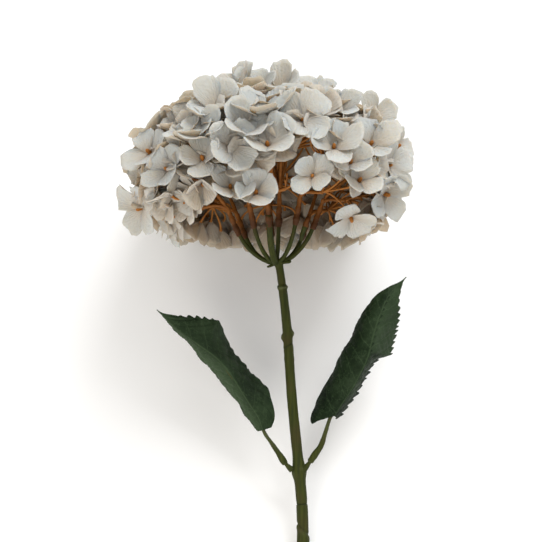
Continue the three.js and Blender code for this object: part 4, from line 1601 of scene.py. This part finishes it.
@dataclass
class Leaf:
    """A stalked, toothed leaf.

    Attributes:
        name: Left or right.
        midrib: Knots of the midrib from base to tip.
        sleeve_end: Open end of the stalk's sleeve.
        sleeve_top: Where the sleeve narrows to the stalk.
        peg: Root of the peg on the stem that the sleeve is pushed over.
        bluntness: Power of the outline at the base, less for a blunter one.
        left: The half on the left of the midrib.
        right: The half on its right.
        strip: Strength of the painted highlight along the middle of the left half.
        crumple: Depth of the creases between the side veins, in millimetres.
        fold: Shares of the length between which the left half laps over the right one, if it does.
        width: Half width that the outline is scaled by.
        thickness: Thickness of the cloth.
        teeth: Teeth on each side.
        rows_a_tooth: Rows of points for each tooth.
        half_columns: Columns of points on each half.
        veins: Side veins on each half.
        lead: How far a side vein has come on at the margin, as a share of the length.
        tooth_rise: Share of a tooth over which it grows outwards.
        tooth_depth: Depth of a full tooth.
        tooth_limit: The greatest depth, as a share of the half width.
        tooth_sweep: How far a tooth leans on towards the tip.
        tooth_flare: How far the teeth stand out where the half stands on edge.
        rolled: Slope in radians from which the cloth counts as rolled under, where teeth have no flare.
        raised: Height of the tissue between the side veins.
        crown: Height of a half beside the midrib.
        wavy: Height of the margin's waves.
    """

    name: str
    midrib: np.ndarray
    peg: np.ndarray
    sleeve_end: np.ndarray
    sleeve_top: np.ndarray
    bluntness: float
    left: Half
    right: Half
    strip: float
    crumple: float
    fold: tuple[float, float] | None = None
    width: float = 33
    thickness: float = 0.5
    teeth: int = 23
    rows_a_tooth: int = 6
    half_columns: int = 18
    veins: float = 9
    lead: float = 0.17
    tooth_rise: float = 0.78
    tooth_depth: float = 2.4
    tooth_limit: float = 0.13
    tooth_sweep: float = 1.6
    tooth_flare: float = 2.4
    rolled: float = 1.58
    raised: float = 0.55
    crown: float = 0.5
    wavy: float = 0.55

    def outline(self, share: np.ndarray) -> np.ndarray:
        """Half width at shares of the length: blunt at the base, drawn out to the tip."""
        return self.width * share**self.bluntness * (1 - share**5) ** 2.2

    def rib(self, share: np.ndarray) -> tuple[np.ndarray, np.ndarray, np.ndarray, np.ndarray]:
        """Place, direction, side and facing of the midrib at shares of its length."""
        points = smooth_curve(self.midrib, 400)
        run = np.linspace(0, 1, len(points))
        at = read_along(share, run, points)
        way = unit(read_along(share, run, unit(np.gradient(points, axis=0))))
        side = unit(np.cross(way, Z))
        return at, way, side, np.cross(side, way)

    def blade(self) -> Skin:
        """The toothed blade.

        Each half leaves the midrib at its own slope and curls on at an even rate, so that a point
        lies at the end of an arc. The tissue between the side veins is raised, and each tooth
        grows slowly outwards and ends sharply towards the tip.

        Returns:
            The blade as a closed sheet.
        """
        count = self.teeth * self.rows_a_tooth
        share = 0.02 + 0.975 * np.linspace(0, 1, count)
        at, way, side, face = self.rib(share)
        phase = np.linspace(0, self.teeth, count) % 1
        tooth = np.minimum(phase / self.tooth_rise, (1 - phase) / (1 - self.tooth_rise))
        width = self.outline(share)
        column = np.linspace(-1, 1, 2 * self.half_columns + 1)[None, :]
        column = np.sign(column) * np.abs(column) ** 0.9
        hand, out = np.sign(column), np.abs(column)
        rim = out**5
        lt, rt = (np.interp(share, *np.array(half.toothed).T)[:, None] for half in (self.left, self.right))
        cut = rim * np.where(column < 0, lt, rt)
        depth = np.minimum(self.tooth_limit, self.tooth_depth / np.maximum(width, 1))[:, None]
        far = out * width[:, None] * (1 - cut * depth * (1 - tooth)[:, None])
        (ls, lc), (rs, rc) = self.left.read(share), self.right.read(share)
        slope = np.where(column < 0, ls[:, None], rs[:, None])
        rate = np.where(column < 0, lc[:, None], rc[:, None]) / width[:, None]
        end = slope + rate * far
        reach = (np.sin(end) - np.sin(slope)) / rate
        down = (np.cos(slope) - np.cos(end)) / rate
        lobe = np.where(column < 0, self.left.lobe, self.right.lobe)
        back = -lobe * np.maximum(1 - 4 * share, 0)[:, None] * far
        swept = cut * self.tooth_sweep * (tooth - 0.4)[:, None] * np.minimum(width / 10, 1)[:, None]
        middle = at[:, None] + side[:, None] * (hand * reach)[..., None] - face[:, None] * down[..., None]
        flare = self.tooth_flare * cut * (tooth - 0.3)[:, None] * np.sin(slope) ** 4 * (end < self.rolled)
        middle = middle + way[:, None] * (back + swept)[..., None]
        middle = middle + side[:, None] * (hand * flare)[..., None]
        normal = face[:, None] * np.cos(end)[..., None] + side[:, None] * (hand * np.sin(end))[..., None]
        middle = middle + normal * self.relief(share[:, None], column, width[:, None], far)[..., None]
        uv = np.stack(np.broadcast_arrays(0.5 + 0.5 * column, share[:, None]), axis=-1)
        tone = self.shade(share, column)
        middle, uv, tone = (grid[None, :, ::-1] for grid in (middle, uv, tone))
        return thin_sheets(middle, self.thickness, uv, tone)

    def relief(
        self, share: np.ndarray, column: np.ndarray, width: np.ndarray, far: np.ndarray
    ) -> np.ndarray:
        """Height of the raised tissue, of the margin's waves and of the creases.

        Args:
            share: Shares of the length, shape (rows, 1).
            column: Places across, -1 at the left margin and 1 at the right, shape (1, columns).
            width: Half width at each row.
            far: Distance of each point from the midrib, along the cloth.

        Returns:
            Heights in millimetres.
        """
        out, side = np.abs(column), column > 0
        line = self.veins * (share - self.lead * out**0.85) + 0.12 * waves(share * 2, side, (1.0, 2.3), 20)
        quilt = 1 - bell(np.abs(line % 1 - 0.5), 0.16)
        trough = 1 - bell(far, 2.2)
        wave = waves(share * 2.2 + 0.15 * out, side + 4, (1.0, 2.1), 24) * out**2
        fold = np.abs(waves(share * 5 + 1.3 * out, side + 8, (1.0, 2.7), 26))
        raised = self.raised * quilt * np.clip(width / 14, 0.2, 1) + self.crown
        return (raised - self.crumple * fold) * trough + self.wavy * wave

    def shade(self, share: np.ndarray, column: np.ndarray) -> np.ndarray:
        """Tone of the cloth: a painted highlight along the left half's middle, and lighter at the tip."""
        cast = 0.1 + 0.4 * self.strip + 0.5 * np.clip((share[:, None] - 0.82) / 0.1, 0, 1)
        return np.clip(cast + self.strip * (column < 0.05) * bell(column + 0.5, 0.38), 0, 1)

    def stalk(self) -> Skin:
        """Sleeve, stalk and the rib that runs in under the blade, midway between its halves."""
        share = np.array([0, 0.05, 0.1, 0.16, 0.3, 0.5])
        at, _, side, face = self.rib(share)
        right, left = self.right.read(share)[0][:, None], self.left.read(share)[0][:, None]
        away = unit(face * (np.cos(right) + np.cos(left)) + side * (np.sin(right) - np.sin(left)))
        drop = np.array([2.5, 2.2, 1.7, 1.3, 0.9, 0.7])[:, None]
        under = at - away * drop
        knots = np.vstack([
            self.sleeve_end, self.sleeve_end * 0.5 + self.sleeve_top * 0.5, self.sleeve_top,
            self.sleeve_top * 0.5 + under[0] * 0.5, under,
        ])
        line = smooth_curve(knots, 90)
        run = run_along(line)
        sleeve = np.linalg.norm(self.sleeve_top - self.sleeve_end)
        blade = run[-1] - run_along(under)[-1]
        marks = [0, 0.35, sleeve * 0.5, sleeve, sleeve * 0.35 + blade * 0.65, blade, blade + 12, run[-1]]
        radius = np.interp(run, marks, [1.75, 2.05, 2.1, 1.75, 1.15, 1.1, 0.8, 0.35])
        radius = radius * (1 + 0.05 * waves(run / 9, np.array(len(self.name)), (1.0, 2.4), 95))
        tone = np.interp(run, [0, 1.2, sleeve, blade, run[-1]], [0.75, 0.5, 0.55, 0.7, 0.6])
        return tubes(line[None], radius[None], 16, tone=tone[None])

    def peg_skin(self) -> Skin:
        """Peg on the stem's node that the sleeve is pushed over."""
        root = self.peg + (self.peg - self.sleeve_end) * 0.6
        inside = self.sleeve_end * 0.6 + self.sleeve_top * 0.4
        line = bezier(root[None], self.peg[None], self.sleeve_end[None], inside[None], 14)
        radii = np.interp(np.linspace(0, 1, 14), [0, 0.35, 0.6, 1], [2.0, 1.7, 1.2, 1.1])
        return tubes(line, radii[None], 14, tone=0.5)


def left_leaf() -> Leaf:
    """The leaf on the left, whose far half rolls away."""
    midrib = [(-7.4, -106, 3), (-10.8, -96.5, 4.5), (-17, -87, 7), (-22.4, -78.5, 9), (-28, -69.5, 11),
              (-36, -60.5, 13), (-49, -51, 14), (-61.5, -41.5, 12), (-73.8, -29.8, 6)]
    return Leaf(
        name="left",
        midrib=np.array(midrib),
        peg=np.array([8.3, -127, 1.5]),
        sleeve_end=np.array([5.7, -124.6, 2]),
        sleeve_top=np.array([1.8, -118.5, 3]),
        bluntness=0.45,
        right=Half(
            slope=[(0, 10), (0.2, 15), (0.3, 46), (0.4, 58), (0.5, 56), (0.58, 40), (0.65, 12), (1, 5)],
            curl=[(0, 15), (1, 12)],
            lobe=0,
            toothed=[
                (0, 0.1), (0.3, 0.1), (0.34, 0.9), (0.38, 0.1), (0.66, 0.15), (0.72, 0.9), (0.86, 0.9),
                (0.9, 0.2),
            ],
        ),
        left=Half(
            slope=[
                (0, 30), (0.1, 35), (0.2, 52), (0.35, 48), (0.5, 50), (0.6, 55), (0.68, 72), (0.75, 82),
                (1, 80),
            ],
            curl=[(0, 50), (0.2, 45), (0.5, 45), (0.6, 42), (0.68, 20), (0.75, 10), (1, 8)],
            lobe=0,
            toothed=[(0, 0.08), (0.8, 0.08), (0.84, 0.5), (1, 0.3)],
        ),
        strip=0.7,
        crumple=0.9,
    )


def right_leaf() -> Leaf:
    """The leaf on the right, whose near half stands on edge below its middle and opens above."""
    midrib = [(34.6, -97, 3), (40, -88.5, 5), (46, -79.5, 8), (51.2, -70, 11), (55.8, -60, 14),
              (59.2, -47, 15), (63.2, -34.5, 15), (69, -22, 12), (80.6, -9.4, 5)]
    return Leaf(
        name="right",
        midrib=np.array(midrib),
        peg=np.array([18.1, -127, 1.5]),
        sleeve_end=np.array([20.8, -123.4, 2]),
        sleeve_top=np.array([27.5, -113.5, 3]),
        bluntness=0.3,
        right=Half(
            slope=[(0, 72), (0.36, 74), (0.42, 69), (0.47, 50), (0.6, 49), (0.7, 42), (0.85, 28), (1, 20)],
            curl=[(0, 14), (1, 12)],
            lobe=0.2,
            toothed=[(0, 1.1), (1, 1)],
        ),
        left=Half(
            slope=[(0, 0), (0.41, 2), (0.56, 20), (1, 18)],
            curl=[(0, 60), (0.2, 80), (0.41, 96), (0.56, 85), (1, 85)],
            lobe=1.3,
            toothed=[(0, 0.1), (1, 0.1)],
        ),
        strip=0,
        crumple=0.5,
        fold=(0.45, 0.93),
    )


# ------------------------------------------------------------------ studio
@dataclass(frozen=True)
class Studio:
    """Pale floor, soft lights and the camera, which looks down on the laid flower.

    Attributes:
        flower: Where the flower lies.
        target: What the middle of the view looks at, in the flower frame.
        distance: From the camera to the target, in millimetres.
        lean: How far the view leans from square to the stem towards the cut end, degrees.
        frame: Width of the view at the target.
        sensor: Width of the camera's sensor.
        floor: Half the side of the floor, in metres.
    """

    flower: LaidFlower
    target: Place = (-3.1, -5.6, 0)
    distance: float = 1200
    lean: float = 5
    frame: float = 336
    sensor: float = 36
    floor: float = 3

    def camera(self) -> None:
        """Makes the scene's camera."""
        target = self.flower.on_table(np.array(self.target))
        angle = math.radians(self.lean) + self.flower.tilt
        back = np.array([0, -math.sin(angle), math.cos(angle)])
        data = bpy.data.cameras.new("camera")
        data.sensor_width = self.sensor
        data.lens = self.sensor * self.distance / self.frame
        data.clip_start, data.clip_end = 0.05, 20
        camera = bpy.data.objects.new("camera", data)
        camera.location = Vector((target + back * self.distance) * MM)
        camera.rotation_euler = (angle, 0, 0)
        bpy.context.scene.collection.objects.link(camera)
        bpy.context.scene.camera = camera

    def area_light(
        self, name: str, place: Place, size: float, power: float, colour: tuple[float, float, float]
    ) -> None:
        """Makes a square lamp that faces the flower.

        Args:
            name: Its name.
            place: Where it stands, in metres.
            size: Its side in metres.
            power: Its power in watts.
            colour: Red, green and blue.
        """
        data = bpy.data.lights.new(name, "AREA")
        data.size, data.energy, data.color = size, power, colour
        lamp = bpy.data.objects.new(name, data)
        lamp.location = place
        aim = Vector(self.flower.on_table(np.array([0.0, 20, 0])) * MM)
        lamp.rotation_euler = (Vector(place) - aim).to_track_quat("Z", "Y").to_euler()
        bpy.context.scene.collection.objects.link(lamp)

    def build(self) -> None:
        """Makes floor, lights and camera."""
        world = bpy.data.worlds.new("studio")
        world.use_nodes = True
        world.node_tree.nodes["Background"].inputs["Color"].default_value = (1, 1, 1, 1)
        world.node_tree.nodes["Background"].inputs["Strength"].default_value = 0.73
        bpy.context.scene.world = world
        self.area_light("key", (0.6, 1.25, 1.3), 1.1, 27, (0.98, 0.99, 1))
        self.area_light("fill", (-0.5, -1.2, 0.9), 1.2, 13, (1, 0.93, 0.84))
        mesh = bpy.data.meshes.new("floor")
        corners = [(x * self.floor, y * self.floor, 0) for x, y in ((-1, -1), (1, -1), (1, 1), (-1, 1))]
        mesh.from_pydata(corners, [], [(0, 1, 2, 3)])
        floor = bpy.data.objects.new("floor", mesh)
        floor.data.materials.append(FloorPaint().make())
        bpy.context.scene.collection.objects.link(floor)
        bpy.context.scene.view_settings.view_transform = "Standard"
        self.camera()


# ------------------------------------------------------------------ the flower
TILT = math.radians(16)
CUT_END = 190.0  # distance of the stem's cut end below the hub
CUT_RADIUS = 4  # radius of the cut end
# Where the stem starts and where its lengths meet, below the hub.
STEM_TOP, TOP_JOINT, MIDDLE_JOINT, FOOT_JOINT = -1.5, 15.15, 52.15, 149.15
JOINT_SLOPE = -30  # the middle joint is cut on this slope, in degrees


def laid_flower(stem: Stem) -> LaidFlower:
    """Finds the hub from the box round the CAD part's stem foot.

    Args:
        stem: The stem, whose foot is laid out from a hub at zero and compared.

    Returns:
        Where the flower lies.
    """
    at_zero = LaidFlower(TILT, np.zeros(3))
    centre = at_zero.on_table(stem.centre(np.array([CUT_END])))[0]
    corner = centre + CUT_RADIUS * np.array([1, -math.sin(TILT), -math.cos(TILT)])
    low, high = (np.array(list(end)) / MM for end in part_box("stem_foot"))
    hub = np.array([high[0], low[1], low[2]]) - corner
    log.info("hub at %s mm", np.round(hub, 2))
    return LaidFlower(TILT, hub)


def build_flower() -> LaidFlower:
    """Builds every piece of the flower and returns where it lies."""
    stem = Stem()
    flower = laid_flower(stem)
    petals, twigs = PetalCloth().make(), AmberPlastic().make()
    green = StemPlastic(slope=TILT).make()

    head = FlowerHead(flower)
    outer = head.placed()
    inner = head.inner(outer)
    log.info("%d outer florets and %d inner ones", len(outer), len(inner))
    # The inner florets read their pattern only part of the way out, so the painted warm shade covers most
    # of their petals.
    sprays, fine, plain = Sprays(), Petal(), Petal(rows=6, columns=11, bare=0.45)
    outer_share, inner_share = sprays.shares(outer), sprays.shares(inner)
    for number in range(len(ARMS)):
        mine, under = outer.chosen(outer_share == number), inner.chosen(inner_share == number)
        node, skin = f"spray_{number + 1}", sprays.skin(number, mine, under)
        cloth_skin = Skin.joined([fine.skins(mine, flower), plain.skins(under, flower)])
        add_piece(f"petals_{number + 1}", cloth_skin, flower, petals, [node])
        add_piece(f"twigs_{number + 1}", skin, flower, twigs, [node])

    leaves = [left_leaf(), right_leaf()]
    neck = [stem.length(STEM_TOP, TOP_JOINT, 0, 0), stem.arms()]
    upper = [stem.length(TOP_JOINT, MIDDLE_JOINT, 0, JOINT_SLOPE)]
    middle = [stem.length(MIDDLE_JOINT, FOOT_JOINT, JOINT_SLOPE, 0), *(leaf.peg_skin() for leaf in leaves)]
    lower = [stem.length(FOOT_JOINT, CUT_END, 0, 0)]
    for name, skins, node in (
        ("neck_and_arms", neck, "flower_arms"),
        ("stem_upper", upper, "stem_top"),
        ("stem_mid", middle, "stem_middle"),
        ("stem_lower", lower, "stem_foot"),
    ):
        add_piece(name, Skin.joined(skins), flower, green, [node])

    for leaf in leaves:
        cloth = LeafCloth(leaf.veins, leaf.lead, leaf.fold, leaf.teeth).make()
        add_piece(f"blade_{leaf.name}", leaf.blade(), flower, cloth, [f"leaf_{leaf.name}"])
        add_piece(f"stalk_{leaf.name}", leaf.stalk(), flower, green, [f"petiole_{leaf.name}"])
    return flower


def main() -> None:
    """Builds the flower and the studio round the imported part."""
    logging.basicConfig(level=logging.INFO, format="%(name)s: %(message)s")
    for stray in list(bpy.data.objects):
        bpy.data.objects.remove(stray)
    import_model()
    flower = build_flower()
    Studio(flower).build()


if __name__ == "__main__":
    main()
